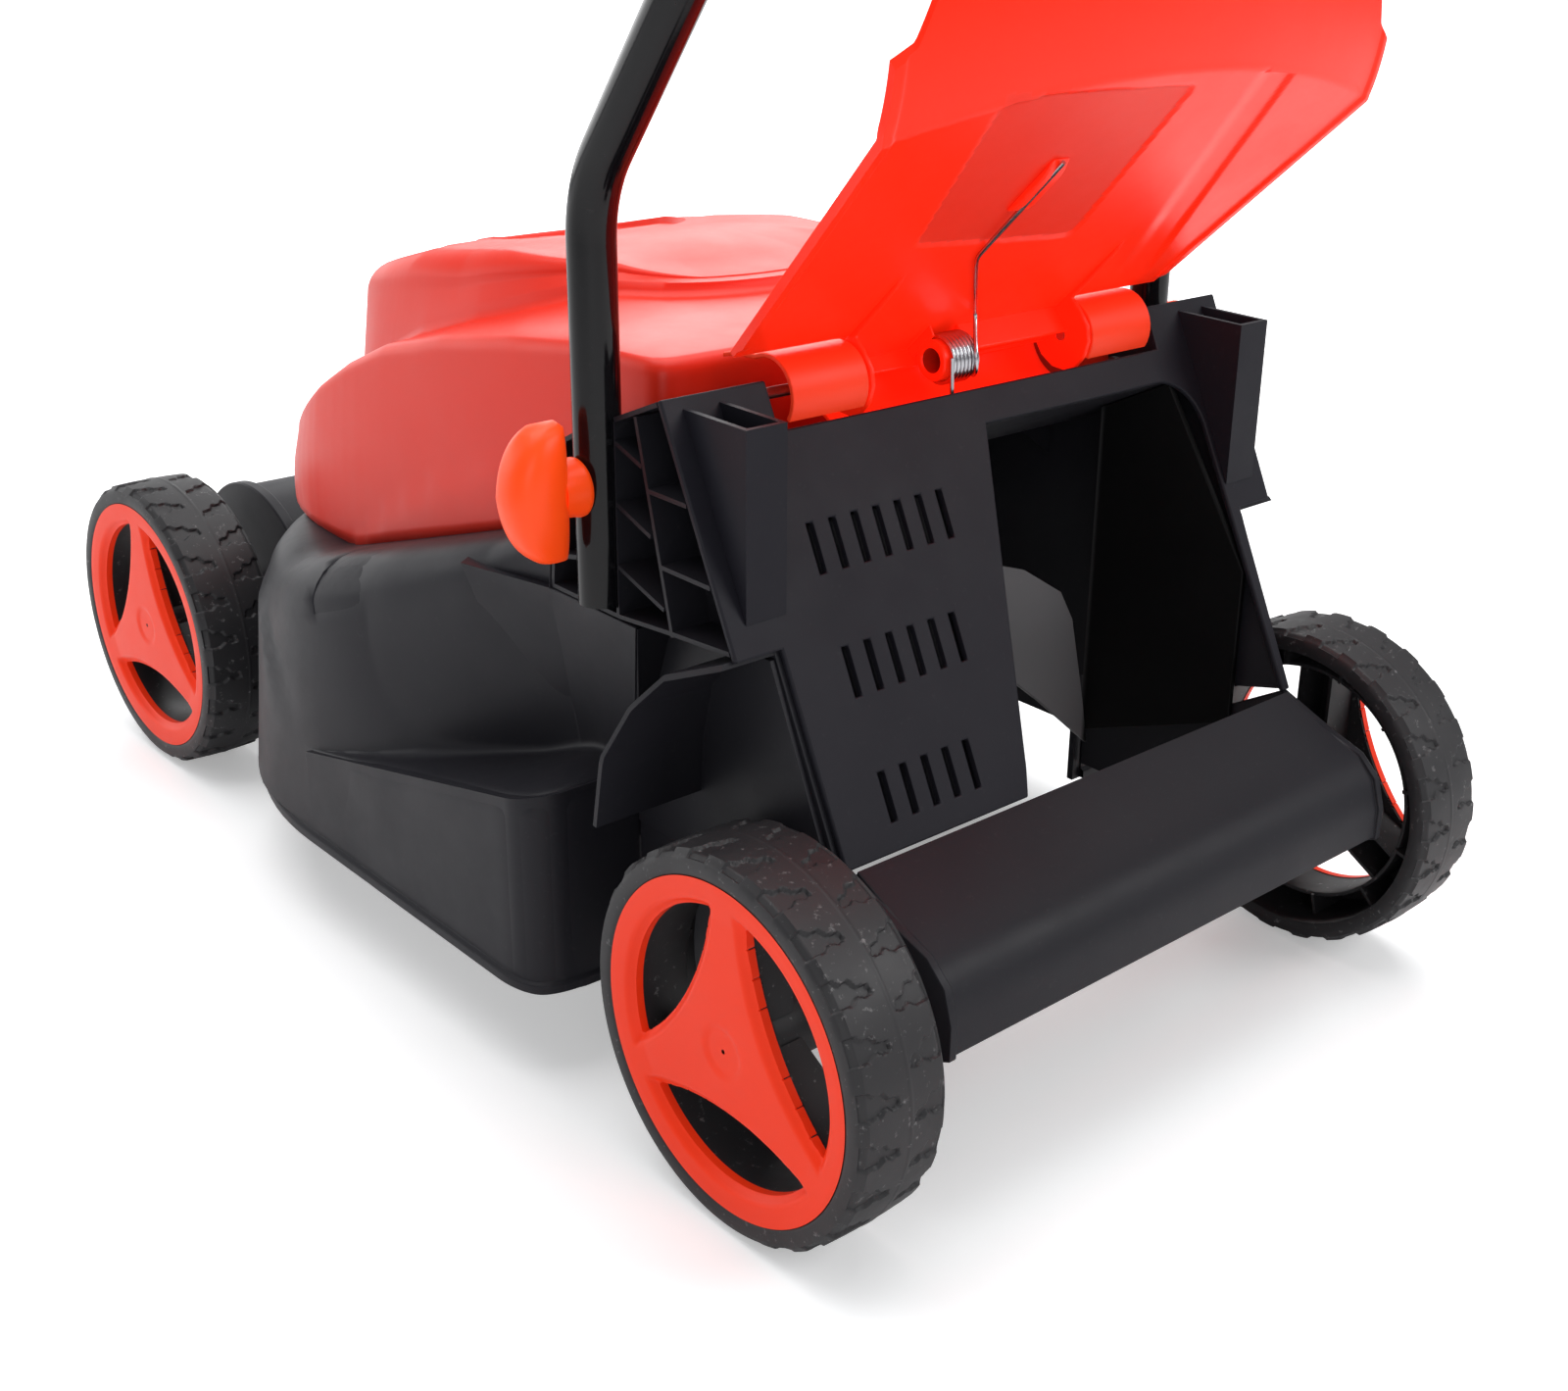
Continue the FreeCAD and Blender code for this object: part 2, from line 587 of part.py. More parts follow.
def flap_spring():
    """Torsion spring round the boss: rings stand for its turns, and two straight legs."""
    rings = []
    pitch = 2 * WIRE_R - 0.1
    for i in range(SPRING_TURNS):
        x = BOSS_X1 - 3 - i * pitch
        ring = Part.makeTorus(SPRING_R, WIRE_R, V(x, HINGE_Y, HINGE_Z), V(1, 0, 0))
        rings.append(ring)
    first = BOSS_X1 - 3
    last = first - (SPRING_TURNS - 1) * pitch
    up = FLAP_SIN
    start = V(first, HINGE_Y - SPRING_R * FLAP_COS, HINGE_Z - SPRING_R * up)
    kink = start + V(-6, -60 * FLAP_SIN, 60 * FLAP_COS) + V(0, 8 * FLAP_COS, 8 * FLAP_SIN)
    tip = V(-29, HINGE_Y, HINGE_Z) + V(0, -112 * FLAP_SIN, 112 * FLAP_COS) + V(0, 8.6 * FLAP_COS, 8.6 * FLAP_SIN)
    legs = []
    for a, b in ((start, kink), (kink, tip)):
        legs.append(Part.makeCylinder(WIRE_R, (b - a).Length, a, b - a))
    foot = V(last, HINGE_Y - SPRING_R, HINGE_Z)
    legs.append(Part.makeCylinder(WIRE_R, 14, foot, V(0, -0.1, -1)))
    knee = Part.makeSphere(WIRE_R, kink)
    return fused(rings + legs + [knee])


add("rear_flap", rear_flap())
add("flap_spring", flap_spring())


# ---- handle ----------------------------------------------------------------------
KNOB_Z = 283.0
LOWER_FACE = -LOWER_X - TUBE_R - 0.3      # collar face of a lower knob
UPPER_FACE = -UPPER_X - TUBE_R - 0.3


def at_x(x, point):
    return V(x, point.y, point.z)


def lower_tube():
    points = [V(-LOWER_X, TUBE_Y, TUBE_FOOT_Z), V(-LOWER_X, TUBE_Y, BEND_Z), at_x(-LOWER_X, LOWER_END)]
    tube = swept_tube(points, 60, TUBE_R, TUBE_R - TUBE_WALL)
    tube = tube.cut(cyl_x(-200, -140, TUBE_Y, KNOB_Z, 3.05))
    return tube.cut(cyl_x(-200, -140, FOLD_PIVOT.y, FOLD_PIVOT.z, 3.05))


def upper_handle():
    stub = FOLD_PIVOT - HANDLE_D * 15
    points = [at_x(-UPPER_X, stub), at_x(-UPPER_X, HANDLE_TOP), at_x(UPPER_X, HANDLE_TOP), at_x(UPPER_X, stub)]
    tube = swept_tube(points, 55, TUBE_R, TUBE_R - TUBE_WALL)
    return tube.cut(cyl_x(-210, 210, FOLD_PIVOT.y, FOLD_PIVOT.z, 3.05))


def wing_knob(x, y, z):
    """Left-hand wing knob on a bolt along X, its collar's face at x, wing pointing out."""
    collar = cyl_x(x - 12, x, y, z, 12.5)
    wing = [(-27, -12), (-20, -26), (-4, -38), (4, -38), (20, -26), (27, -12), (14, -6), (-14, -6)]
    blade = prism_y([(dx, dz) for dz, dx in wing], -12, 12)
    soft = [e for e in blade.Edges if abs(e.Vertexes[0].Y - e.Vertexes[1].Y) < 0.1]
    blade = blade.makeFillet(4, soft)
    blade.translate(V(x, y, z))
    knob = fused([collar, blade])
    knob = knob.cut(box(x - 40, x - 24, y - 5, y + 5, z - 8, z + 8))
    return knob.cut(cyl_x(x - 20, x + 1, y, z, 3.05))


def through_bolt(x_in, x_out, y, z):
    head = Part.makeCylinder(6, 3, V(x_in, y, z), V(1, 0, 0))
    return head.fuse(cyl_x(x_out, x_in, y, z, 3.0)).removeSplitter()


def knob_bolts():
    lower = through_bolt(-BRACKET_IN_X + 0.1, LOWER_FACE - 19, TUBE_Y, KNOB_Z)
    upper = through_bolt(-LOWER_X + TUBE_R, UPPER_FACE - 19, FOLD_PIVOT.y, FOLD_PIVOT.z)
    return group([lower, mirrored(lower), upper, mirrored(upper)])


add_pair("lower_tube", lower_tube())
add("upper_handle", upper_handle())
add_pair("lower_knob", wing_knob(LOWER_FACE, TUBE_Y, KNOB_Z))
add_pair("upper_knob", wing_knob(UPPER_FACE, FOLD_PIVOT.y, FOLD_PIVOT.z))
add("knob_bolts", knob_bolts())


# ---- switch, bail and grip -------------------------------------------------------
BAIL_X = 178.0
BAIL_R = 4.0
BAIL_DOWN = 70.0
BAIL_PIVOT = HANDLE_TOP - HANDLE_D * BAIL_DOWN
BAIL_OFF = 34.0
BOX_IN_X = 120.0
BOX_OUT_X = 172.5
BUTTON_TRAVEL = 5.0


def along_handle(shape):
    """Set a piece drawn with z up the handle and y off its front, at the bail pivot."""
    placed = shape.copy()
    placed.rotate(V(0, 0, 0), V(1, 0, 0), HANDLE_LEAN)
    placed.translate(BAIL_PIVOT)
    return placed


def grip():
    return tube_x(-135, 100, HANDLE_TOP.y, HANDLE_TOP.z, 14, TUBE_R)


def bail():
    knee = BAIL_PIVOT + HANDLE_D * 16 + HANDLE_E * 10
    top = BAIL_PIVOT + HANDLE_D * (BAIL_DOWN + 2) + HANDLE_E * BAIL_OFF
    left = [at_x(-BAIL_X, BAIL_PIVOT), at_x(-BAIL_X, knee), at_x(-BAIL_X, top)]
    right = [at_x(BAIL_X, top), at_x(BAIL_X, knee), at_x(BAIL_X, BAIL_PIVOT)]
    rod = swept_tube(left + right, 12, BAIL_R, 0)
    eyes = [cyl_x(-BAIL_X - 3, -BAIL_X + 3, BAIL_PIVOT.y, BAIL_PIVOT.z, 7),
            cyl_x(BAIL_X - 3, BAIL_X + 3, BAIL_PIVOT.y, BAIL_PIVOT.z, 7)]
    return fused([rod] + eyes).cut(cyl_x(-200, 200, BAIL_PIVOT.y, BAIL_PIVOT.z, 3.05))


def bail_pins():
    left = cyl_x(-UPPER_X + TUBE_R - 1.4, -BAIL_X + 5, BAIL_PIVOT.y, BAIL_PIVOT.z, 3)
    right = cyl_x(BAIL_X - 5, UPPER_X - TUBE_R + 1.4, BAIL_PIVOT.y, BAIL_PIVOT.z, 3)
    return group([left, right])


def switch_half(front):
    """One shell of the switch box; the halves meet on the plane of the handle."""
    y0, y1 = (0.05, 24) if front else (-24, -0.05)
    outer = box(BOX_IN_X, BOX_OUT_X, y0, y1, -62, 26)
    rounded = outer.makeFillet(5, [e for e in outer.Edges if abs(e.BoundBox.YMax - e.BoundBox.YMin) > 20])
    y2, y3 = (-1, 21) if front else (-21, 1)
    shell = rounded.cut(box(BOX_IN_X + 3, BOX_OUT_X - 3, y2, y3, -59, 23))
    if not front:
        shell = shell.cut(Part.makeCylinder(7.4, 12, V(146, -30, 2), V(0, 1, 0)))
        shell = shell.fuse(box(BOX_OUT_X - 0.2, UPPER_X - 9.9, -6, -2, -56, -42))
        saddle = Part.makeCylinder(13, 14, V(UPPER_X, 0, -56), V(0, 0, 1))
        saddle = saddle.cut(Part.makeCylinder(TUBE_R + 0.02, 16, V(UPPER_X, 0, -57), V(0, 0, 1)))
        saddle = saddle.cut(box(UPPER_X - 20, UPPER_X + 20, 0, 20, -70, 0))
        shell = shell.fuse(saddle)
    shell = shell.cut(Part.makeCylinder(9.05, 8, V(146, 0, -65), V(0, 0, 1)))
    return along_handle(shell.removeSplitter())


def lock_button():
    stem = Part.makeCylinder(7.0, 14, V(146, -29.5, 2), V(0, 1, 0))
    flange = Part.makeCylinder(9.0, 2, V(146, -15.6, 2), V(0, 1, 0))
    return along_handle(stem.fuse(flange).removeSplitter())


def micro_switch():
    return along_handle(box(134, 158, -6, 14, -14, 16))


def mains_inlet():
    """Short male plug socket under the switch box, open at its lower end."""
    body = Part.makeCylinder(13.0, 28, V(146, 0, -90.1), V(0, 0, 1))
    neck = Part.makeCylinder(9.0, 6, V(146, 0, -62.2), V(0, 0, 1))
    body = body.fuse(neck).cut(Part.makeCylinder(10.5, 22, V(146, 0, -91), V(0, 0, 1)))
    return along_handle(body.removeSplitter())


def inlet_pins():
    pins = [Part.makeCylinder(2.0, 17.5, V(146 + dx, 0, -86.5), V(0, 0, 1)) for dx in (-5, 5)]
    return along_handle(group(pins))


def cord_hook():
    """Ring and open hook on the left leg that takes the pull of an extension lead."""
    ring = Part.makeCylinder(13, 16, V(-UPPER_X, 0, -60), V(0, 0, 1))
    ring = ring.cut(Part.makeCylinder(TUBE_R + 0.02, 18, V(-UPPER_X, 0, -61), V(0, 0, 1)))
    arm = box(-UPPER_X + 12, -UPPER_X + 44, -3, 3, -60, -54)
    lip = box(-UPPER_X + 38, -UPPER_X + 44, -3, 3, -54.5, -34)
    return along_handle(fused([ring, arm, lip]))


add("handle_grip", grip())
add("bail_lever", bail())
add("bail_pins", bail_pins())
add("switch_case_front", switch_half(True))
add("switch_case_rear", switch_half(False))
add("lock_button", lock_button())
add("micro_switch", micro_switch())
add("mains_inlet", mains_inlet())
add("inlet_pins", inlet_pins())
add("cord_hook", cord_hook())


# ---- motor and cutting gear ------------------------------------------------------
STATOR_R = 50.0
ROTOR_R = 28.0
BEARING_R = 17.5
BEARING_T = 11.0


def shaft_bearings():
    rings = [tube_z(0, DECK_Y, z, z + BEARING_T, BEARING_R, SHAFT_R + RUN_GAP) for z in (147.5, 239)]
    return group(rings)


def end_bracket(z0, z1, pocket_z):
    plate = cyl_z(0, DECK_Y, z0, z1, STATOR_R + 4)
    plate = plate.cut(cyl_z(0, DECK_Y, pocket_z, pocket_z + BEARING_T, BEARING_R))
    plate = plate.cut(cyl_z(0, DECK_Y, z0 - 1, z1 + 1, SHAFT_R + 1.5))
    for i in range(4):
        angle = math.radians(45 + 90 * i)
        x = 44 * math.cos(angle)
        y = DECK_Y + 44 * math.sin(angle)
        plate = plate.cut(cyl_z(x, y, z0 - 1, z1 + 1, 2.6))
    return plate


def motor_screws():
    screws = []
    for i in range(4):
        angle = math.radians(45 + 90 * i)
        x = 44 * math.cos(angle)
        y = DECK_Y + 44 * math.sin(angle)
        shank = cyl_z(x, y, 146, 254, 2.5)
        screws.append(shank.fuse(cyl_z(x, y, 253.8, 257.5, 4.5)).removeSplitter())
    return group(screws)


def stator_stack():
    stack = tube_z(0, DECK_Y, 174, 224, STATOR_R, ROTOR_R + 0.5)
    for i in range(4):
        angle = math.radians(45 + 90 * i)
        stack = stack.cut(cyl_z(44 * math.cos(angle), DECK_Y + 44 * math.sin(angle), 170, 230, 2.6))
    return stack


def windings():
    low = tube_z(0, DECK_Y, 162, 173.9, 39, ROTOR_R + 2)
    high = tube_z(0, DECK_Y, 224.1, 236, 39, ROTOR_R + 2)
    return group([low, high])


def cooling_fan():
    hub = tube_z(0, DECK_Y, 262, 272, 12, SHAFT_R)
    disc = tube_z(0, DECK_Y, 262, 264, 42, 11)
    blades = []
    for i in range(8):
        blade = box(10, 41, -1, 1, 263, 272)
        blade.rotate(V(0, 0, 0), V(0, 0, 1), 45 * i)
        blade.translate(V(0, DECK_Y, 0))
        blades.append(blade)
    return fused([hub, disc] + blades).cut(cyl_z(0, DECK_Y, 250, 280, SHAFT_R))


def blade_carrier():
    hub = tube_z(0, DECK_Y, 72, 104, 16, SHAFT_R)
    disc = tube_z(0, DECK_Y, 72, 76, 46, 15)
    vanes = []
    for i in range(6):
        vane = box(14, 44, -1.2, 1.2, 75, 92)
        vane.rotate(V(0, 0, 0), V(0, 0, 1), 60 * i)
        vane.translate(V(0, DECK_Y, 0))
        vanes.append(vane)
    return fused([hub, disc] + vanes).cut(cyl_z(0, DECK_Y, 60, 110, SHAFT_R))


def blade():
    """Bar blade with raised trailing wings at both ends and bevelled cutting edges."""
    outline = [(-BLADE_R, -22), (-BLADE_R + 60, -22), (-60, -25), (60, -25), (BLADE_R - 60, -22), (BLADE_R, -22),
               (BLADE_R, 22), (BLADE_R - 60, 22), (60, 25), (-60, 25), (-BLADE_R + 60, 22), (-BLADE_R, 22)]
    bar = prism_z([(x, y) for x, y in outline], 68.5, 71.9)
    edge = prism_x([(-30, 67), (-22.5, 67), (-16, 68.5), (-22.5, 72), (-30, 72)], BLADE_R - 80, BLADE_R + 1)
    other = edge.copy()
    other.rotate(V(0, 0, 0), V(0, 0, 1), 180)
    lift = prism_x([(14, 71.8), (22, 71.8), (26, 84), (23, 84)], BLADE_R - 55, BLADE_R)
    lift_other = lift.copy()
    lift_other.rotate(V(0, 0, 0), V(0, 0, 1), 180)
    bar = fused([bar.cut(edge).cut(other), lift, lift_other])
    bar = bar.common(cyl_z(0, 0, 60, 90, BLADE_R))
    bar.translate(V(0, DECK_Y, 0))
    return bar.cut(cyl_z(0, DECK_Y, 60, 80, 5.05))


def capacitor():
    body = Part.makeCylinder(16, 62, V(-31, 432, 206), V(1, 0, 0))
    return body


def capacitor_clamp():
    strap = Part.makeCylinder(18.2, 12, V(-6, 432, 206), V(1, 0, 0))
    strap = strap.cut(Part.makeCylinder(16.05, 14, V(-7, 432, 206), V(1, 0, 0)))
    foot = box(-6, 6, 446, 462, 187.5, 190)
    post = box(-6, 6, 446, 449, 188, 206)
    return fused([strap, foot, post]).cut(Part.makeCylinder(16.05, 14, V(-7, 432, 206), V(1, 0, 0)))


def terminal_block():
    block = box(60, 104, 396, 414, 186, 204)
    holes = [cyl_z(66 + 11 * i, 405, 198, 206, 2.5) for i in range(4)]
    return block.cut(group(holes))


def cover_screws():
    screws = []
    for x in (-128, 128):
        for y, z in ((190, 246), (430, 180)):
            shank = cyl_z(x, y, z - 6, z + 8, 2.0)
            screws.append(shank.fuse(cyl_z(x, y, z + 8, z + 11, 4.5)).removeSplitter())
    return group(screws)


add("motor_end_bracket_lower", end_bracket(146, 160, 147.5))
add("motor_end_bracket_upper", end_bracket(238, 253.5, 239))
add("shaft_bearings", shaft_bearings())
add("stator_stack", stator_stack())
add("stator_windings", windings())
add("motor_screws", motor_screws())
add("rotor_core", tube_z(0, DECK_Y, 174, 224, ROTOR_R, SHAFT_R))
add("motor_shaft", cyl_z(0, DECK_Y, 72, 274, SHAFT_R))
add("cooling_fan", cooling_fan())
add("blade_carrier", blade_carrier())
add("cutting_blade", blade())
add("blade_bolt", cyl_z(0, DECK_Y, 58.6, 66.0, 9).fuse(cyl_z(0, DECK_Y, 65.9, 71.9, 5)).removeSplitter())
add("blade_washer", tube_z(0, DECK_Y, 66.0, 68.5, 20, 5.0))
add("run_capacitor", capacitor())
add("capacitor_clamp", capacitor_clamp())
add("terminal_block", terminal_block())
add("cover_screws", cover_screws())


# ---- write -----------------------------------------------------------------------
def middle_y():
    """y of the middle of the whole mower, front to back."""
    low = min(shape.BoundBox.YMin for shape in parts.values())
    high = max(shape.BoundBox.YMax for shape in parts.values())
    return (low + high) / 2


def write_parts():
    os.makedirs("parts", exist_ok=True)
    shift = V(0, -middle_y(), 0)
    for name, shape in parts.items():
        placed = shape.copy()
        placed.translate(shift)
        placed.exportStep("parts/" + name + ".step")
    print("origin slides along Y by", round(shift.y, 4))


write_parts()
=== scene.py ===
import json
import math

import bpy
import numpy as np
from mathutils import Matrix, Vector


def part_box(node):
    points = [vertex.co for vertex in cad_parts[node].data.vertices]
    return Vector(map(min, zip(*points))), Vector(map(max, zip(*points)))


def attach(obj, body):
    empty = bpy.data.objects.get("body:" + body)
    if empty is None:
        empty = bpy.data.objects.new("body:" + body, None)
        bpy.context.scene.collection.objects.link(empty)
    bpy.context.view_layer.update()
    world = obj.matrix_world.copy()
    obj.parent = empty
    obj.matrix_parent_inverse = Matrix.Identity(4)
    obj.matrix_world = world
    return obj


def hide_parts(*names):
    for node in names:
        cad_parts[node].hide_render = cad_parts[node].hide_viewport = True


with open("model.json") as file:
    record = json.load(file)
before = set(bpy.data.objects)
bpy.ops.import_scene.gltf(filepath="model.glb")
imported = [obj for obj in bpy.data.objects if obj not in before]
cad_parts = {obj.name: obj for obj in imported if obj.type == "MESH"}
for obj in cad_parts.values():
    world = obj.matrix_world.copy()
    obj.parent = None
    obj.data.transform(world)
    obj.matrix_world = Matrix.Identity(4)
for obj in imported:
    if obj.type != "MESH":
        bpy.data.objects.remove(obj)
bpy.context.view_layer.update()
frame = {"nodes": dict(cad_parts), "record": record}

# Millimetres below, with y = 0 over the rear axle, turned into the frame's metres by metres().
axle_low, axle_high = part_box("rear_axle")
REAR_AXLE_Y = (axle_low.y + axle_high.y) / 2


def metres(points):
    return [(x / 1000, y / 1000 + REAR_AXLE_Y, z / 1000) for x, y, z in points]


# ---- materials -------------------------------------------------------------------
def node_maker(mat):
    nodes, links = mat.node_tree.nodes, mat.node_tree.links

    def add(kind, inputs=None, **settings):
        node = nodes.new(kind)
        for key, value in settings.items():
            setattr(node, key, value)
        for key, value in (inputs or {}).items():
            if isinstance(value, bpy.types.NodeSocket):
                links.new(value, node.inputs[key])
            else:
                node.inputs[key].default_value = value
        return node

    return add


def rgb(colour):
    return (*colour, 1.0)


DUST_COLOUR = (0.45, 0.44, 0.44)


def moulded(name, colour, mottle, rough, grain=1600.0, grain_depth=0.00001, rough_span=0.05, dust=0.0,
            specular=0.5, glow=0.0, painted_glow=0.0):
    """Moulded plastic or paint: clouded colour, uneven gloss, fine grain and a little dust.

    glow scatters light under the surface. The last argument is painted glow: emission in the plastic's own
    colour, standing in for light that comes through thin plastic, though the part is no lamp.
    """
    mat = bpy.data.materials.new(name)
    mat.use_nodes = True
    shader = mat.node_tree.nodes["Principled BSDF"]
    add = node_maker(mat)
    links = mat.node_tree.links
    where = add("ShaderNodeTexCoord").outputs["Object"]
    cloud = add("ShaderNodeTexNoise", {"Vector": where, "Scale": 9.0, "Detail": 5.0, "Roughness": 0.6})
    tint = add("ShaderNodeMix", {"Factor": cloud.outputs["Fac"], "A": rgb(colour), "B": rgb(mottle)},
               data_type="RGBA")
    specks = add("ShaderNodeTexNoise", {"Vector": where, "Scale": 260.0, "Detail": 3.0, "Roughness": 0.7})
    thin = add("ShaderNodeMapRange", {"Value": specks.outputs["Fac"], "From Min": 0.62, "From Max": 0.78,
                                      "To Min": 0.0, "To Max": dust})
    dusty = add("ShaderNodeMix", {"Factor": thin.outputs["Result"], "A": tint.outputs["Result"],
                                  "B": rgb(DUST_COLOUR)}, data_type="RGBA")
    links.new(dusty.outputs["Result"], shader.inputs["Base Color"])
    smear = add("ShaderNodeTexNoise", {"Vector": where, "Scale": 24.0, "Detail": 4.0, "Roughness": 0.65})
    gloss = add("ShaderNodeMapRange", {"Value": smear.outputs["Fac"], "From Min": 0.3, "From Max": 0.7,
                                       "To Min": rough - rough_span, "To Max": rough + rough_span})
    links.new(gloss.outputs["Result"], shader.inputs["Roughness"])
    fine = add("ShaderNodeTexNoise", {"Vector": where, "Scale": grain, "Detail": 2.0, "Roughness": 0.5})
    bump = add("ShaderNodeBump", {"Height": fine.outputs["Fac"], "Strength": 1.0, "Distance": grain_depth})
    links.new(bump.outputs["Normal"], shader.inputs["Normal"])
    shader.inputs["Specular IOR Level"].default_value = specular
    if glow:
        shader.inputs["Subsurface Weight"].default_value = glow
        shader.inputs["Subsurface Radius"].default_value = (0.02, 0.004, 0.002)
        shader.inputs["Subsurface Scale"].default_value = 0.3
    # Painted glow: the plastic gives off its own colour, standing in for light coming through it.
    if painted_glow:
        links.new(tint.outputs["Result"], shader.inputs["Emission Color"])
        shader.inputs["Emission Strength"].default_value = painted_glow
    return mat


def metal(name, colour, rough, brushed=0.0):
    mat = bpy.data.materials.new(name)
    mat.use_nodes = True
    shader = mat.node_tree.nodes["Principled BSDF"]
    add = node_maker(mat)
    links = mat.node_tree.links
    where = add("ShaderNodeTexCoord").outputs["Object"]
    cloud = add("ShaderNodeTexNoise", {"Vector": where, "Scale": 60.0, "Detail": 5.0})
    darker = tuple(c * 0.72 for c in colour)
    tint = add("ShaderNodeMix", {"Factor": cloud.outputs["Fac"], "A": rgb(colour), "B": rgb(darker)},
               data_type="RGBA")
    links.new(tint.outputs["Result"], shader.inputs["Base Color"])
    gloss = add("ShaderNodeMapRange", {"Value": cloud.outputs["Fac"], "From Min": 0.3, "From Max": 0.7,
                                       "To Min": rough - 0.06, "To Max": rough + 0.08})
    links.new(gloss.outputs["Result"], shader.inputs["Roughness"])
    scratch = add("ShaderNodeTexNoise", {"Vector": where, "Scale": 700.0, "Detail": 2.0,
                                         "Distortion": brushed})
    bump = add("ShaderNodeBump", {"Height": scratch.outputs["Fac"], "Strength": 0.6, "Distance": 0.00002})
    links.new(bump.outputs["Normal"], shader.inputs["Normal"])
    shader.inputs["Metallic"].default_value = 1.0
    return mat


DECK = moulded("DeckPlastic", (0.0120, 0.0118, 0.0150), (0.016, 0.0155, 0.020), 0.44,
               grain=1500.0, grain_depth=0.00002, dust=0.02, specular=0.2)
PANEL = moulded("PanelPlastic", (0.0115, 0.0110, 0.0155), (0.015, 0.0145, 0.020), 0.50,
                grain=1500.0, grain_depth=0.00002, dust=0.015, specular=0.16)
TYRE = moulded("TyreRubber", (0.014, 0.0138, 0.0155), (0.023, 0.022, 0.024), 0.50,
               grain=1100.0, grain_depth=0.00004, rough_span=0.08, dust=0.35, specular=0.4)
COVER = moulded("CoverPlastic", (0.74, 0.022, 0.007), (0.80, 0.030, 0.010), 0.38,
                grain_depth=0.000012, rough_span=0.04, specular=0.28)
# Painted glow: the flap gives off its own red, standing in for light shining through the thin plate.
FLAP = moulded("FlapPlastic", (0.96, 0.018, 0.003), (0.98, 0.024, 0.005), 0.33,
               specular=0.22, glow=0.2, painted_glow=0.32)
# The patch has a weaker painted glow than the rest of the flap.
FLAP_PATCH = moulded("FlapPatch", (0.74, 0.020, 0.005), (0.80, 0.026, 0.008), 0.48,
                     specular=0.3, glow=0.2, painted_glow=0.18)
# Painted shade: flap plastic made darker and without glow, for the inside of the boss's hollow.
FLAP_PAINTED_SHADE = moulded("FlapPaintedShade", (0.55, 0.014, 0.003), (0.62, 0.02, 0.005), 0.5, specular=0.2)
# Painted glow on the hinge sheets, weaker than the flap's.
HINGE_SHEET = moulded("HingeSheet", (0.90, 0.040, 0.008), (0.94, 0.05, 0.012), 0.42, specular=0.25, painted_glow=0.10)
# Painted light: the black deck plastic made lighter grey for the chute's baffles, standing in for light falling
# on them.
BAFFLE_PAINTED_LIGHT = moulded("BafflePaintedLight", (0.10, 0.099, 0.103), (0.13, 0.128, 0.132), 0.42,
                 grain=1500.0, grain_depth=0.00002, dust=0.02, specular=0.1)
# A faint painted glow on the wheel caps.
CAP = moulded("CapPlastic", (0.90, 0.036, 0.006), (0.95, 0.046, 0.009), 0.40,
              grain_depth=0.000012, specular=0.22, painted_glow=0.06)
# Painted glow, standing in for light coming through the knobs' orange plastic.
KNOB = moulded("KnobPlastic", (0.96, 0.060, 0.004), (0.98, 0.075, 0.007), 0.36,
               grain_depth=0.000012, specular=0.3, glow=0.15, painted_glow=0.25)
TUBE = moulded("TubePaint", (0.003, 0.003, 0.004), (0.005, 0.005, 0.006), 0.13,
               grain=900.0, rough_span=0.03, dust=0.02, specular=0.3)
FOAM = moulded("GripFoam", (0.012, 0.012, 0.012), (0.02, 0.02, 0.02), 0.85,
               grain=1400.0, grain_depth=0.00015, dust=0.05)
CASE = moulded("SwitchPlastic", (0.012, 0.012, 0.013), (0.018, 0.018, 0.02), 0.45,
               grain=1300.0, grain_depth=0.00003, rough_span=0.06, dust=0.02)
FAN = moulded("FanPlastic", (0.035, 0.035, 0.04), (0.05, 0.05, 0.055), 0.5,
              grain=1200.0, grain_depth=0.00003, rough_span=0.06, dust=0.02)
STEEL = metal("ZincSteel", (0.50, 0.50, 0.52), 0.34)
SPRING = metal("SpringWire", (0.62, 0.62, 0.65), 0.20)
BRASS = metal("PinBrass", (0.70, 0.50, 0.20), 0.3)
IRON = metal("MotorIron", (0.22, 0.22, 0.23), 0.5)
ALLOY = metal("CastAlloy", (0.55, 0.55, 0.57), 0.45)
BLADE = metal("BladeSteel", (0.12, 0.12, 0.125), 0.42, 3.0)


def shade_side(mat, x_from, x_to, colour):
    """Turn a material darker beyond a given x, for a wall deep inside the chute."""
    shader = mat.node_tree.nodes["Principled BSDF"]
    add = node_maker(mat)
    where = add("ShaderNodeTexCoord").outputs["Object"]
    axes = add("ShaderNodeSeparateXYZ", {"Vector": where})
    mask = add("ShaderNodeMapRange", {"Value": axes.outputs["X"], "From Min": x_from, "From Max": x_to})
    base = shader.inputs["Base Color"].links[0].from_socket
    mixed = add("ShaderNodeMix", {"Factor": mask.outputs["Result"], "A": base, "B": rgb(colour)},
                data_type="RGBA")
    mat.node_tree.links.new(mixed.outputs["Result"], shader.inputs["Base Color"])


# Painted shade on the baffle material from x 110.5 to 113.5 mm outward, for the chute's side wall deep inside
# the chute.
shade_side(BAFFLE_PAINTED_LIGHT, 0.1105, 0.1135, (0.002, 0.002, 0.0022))

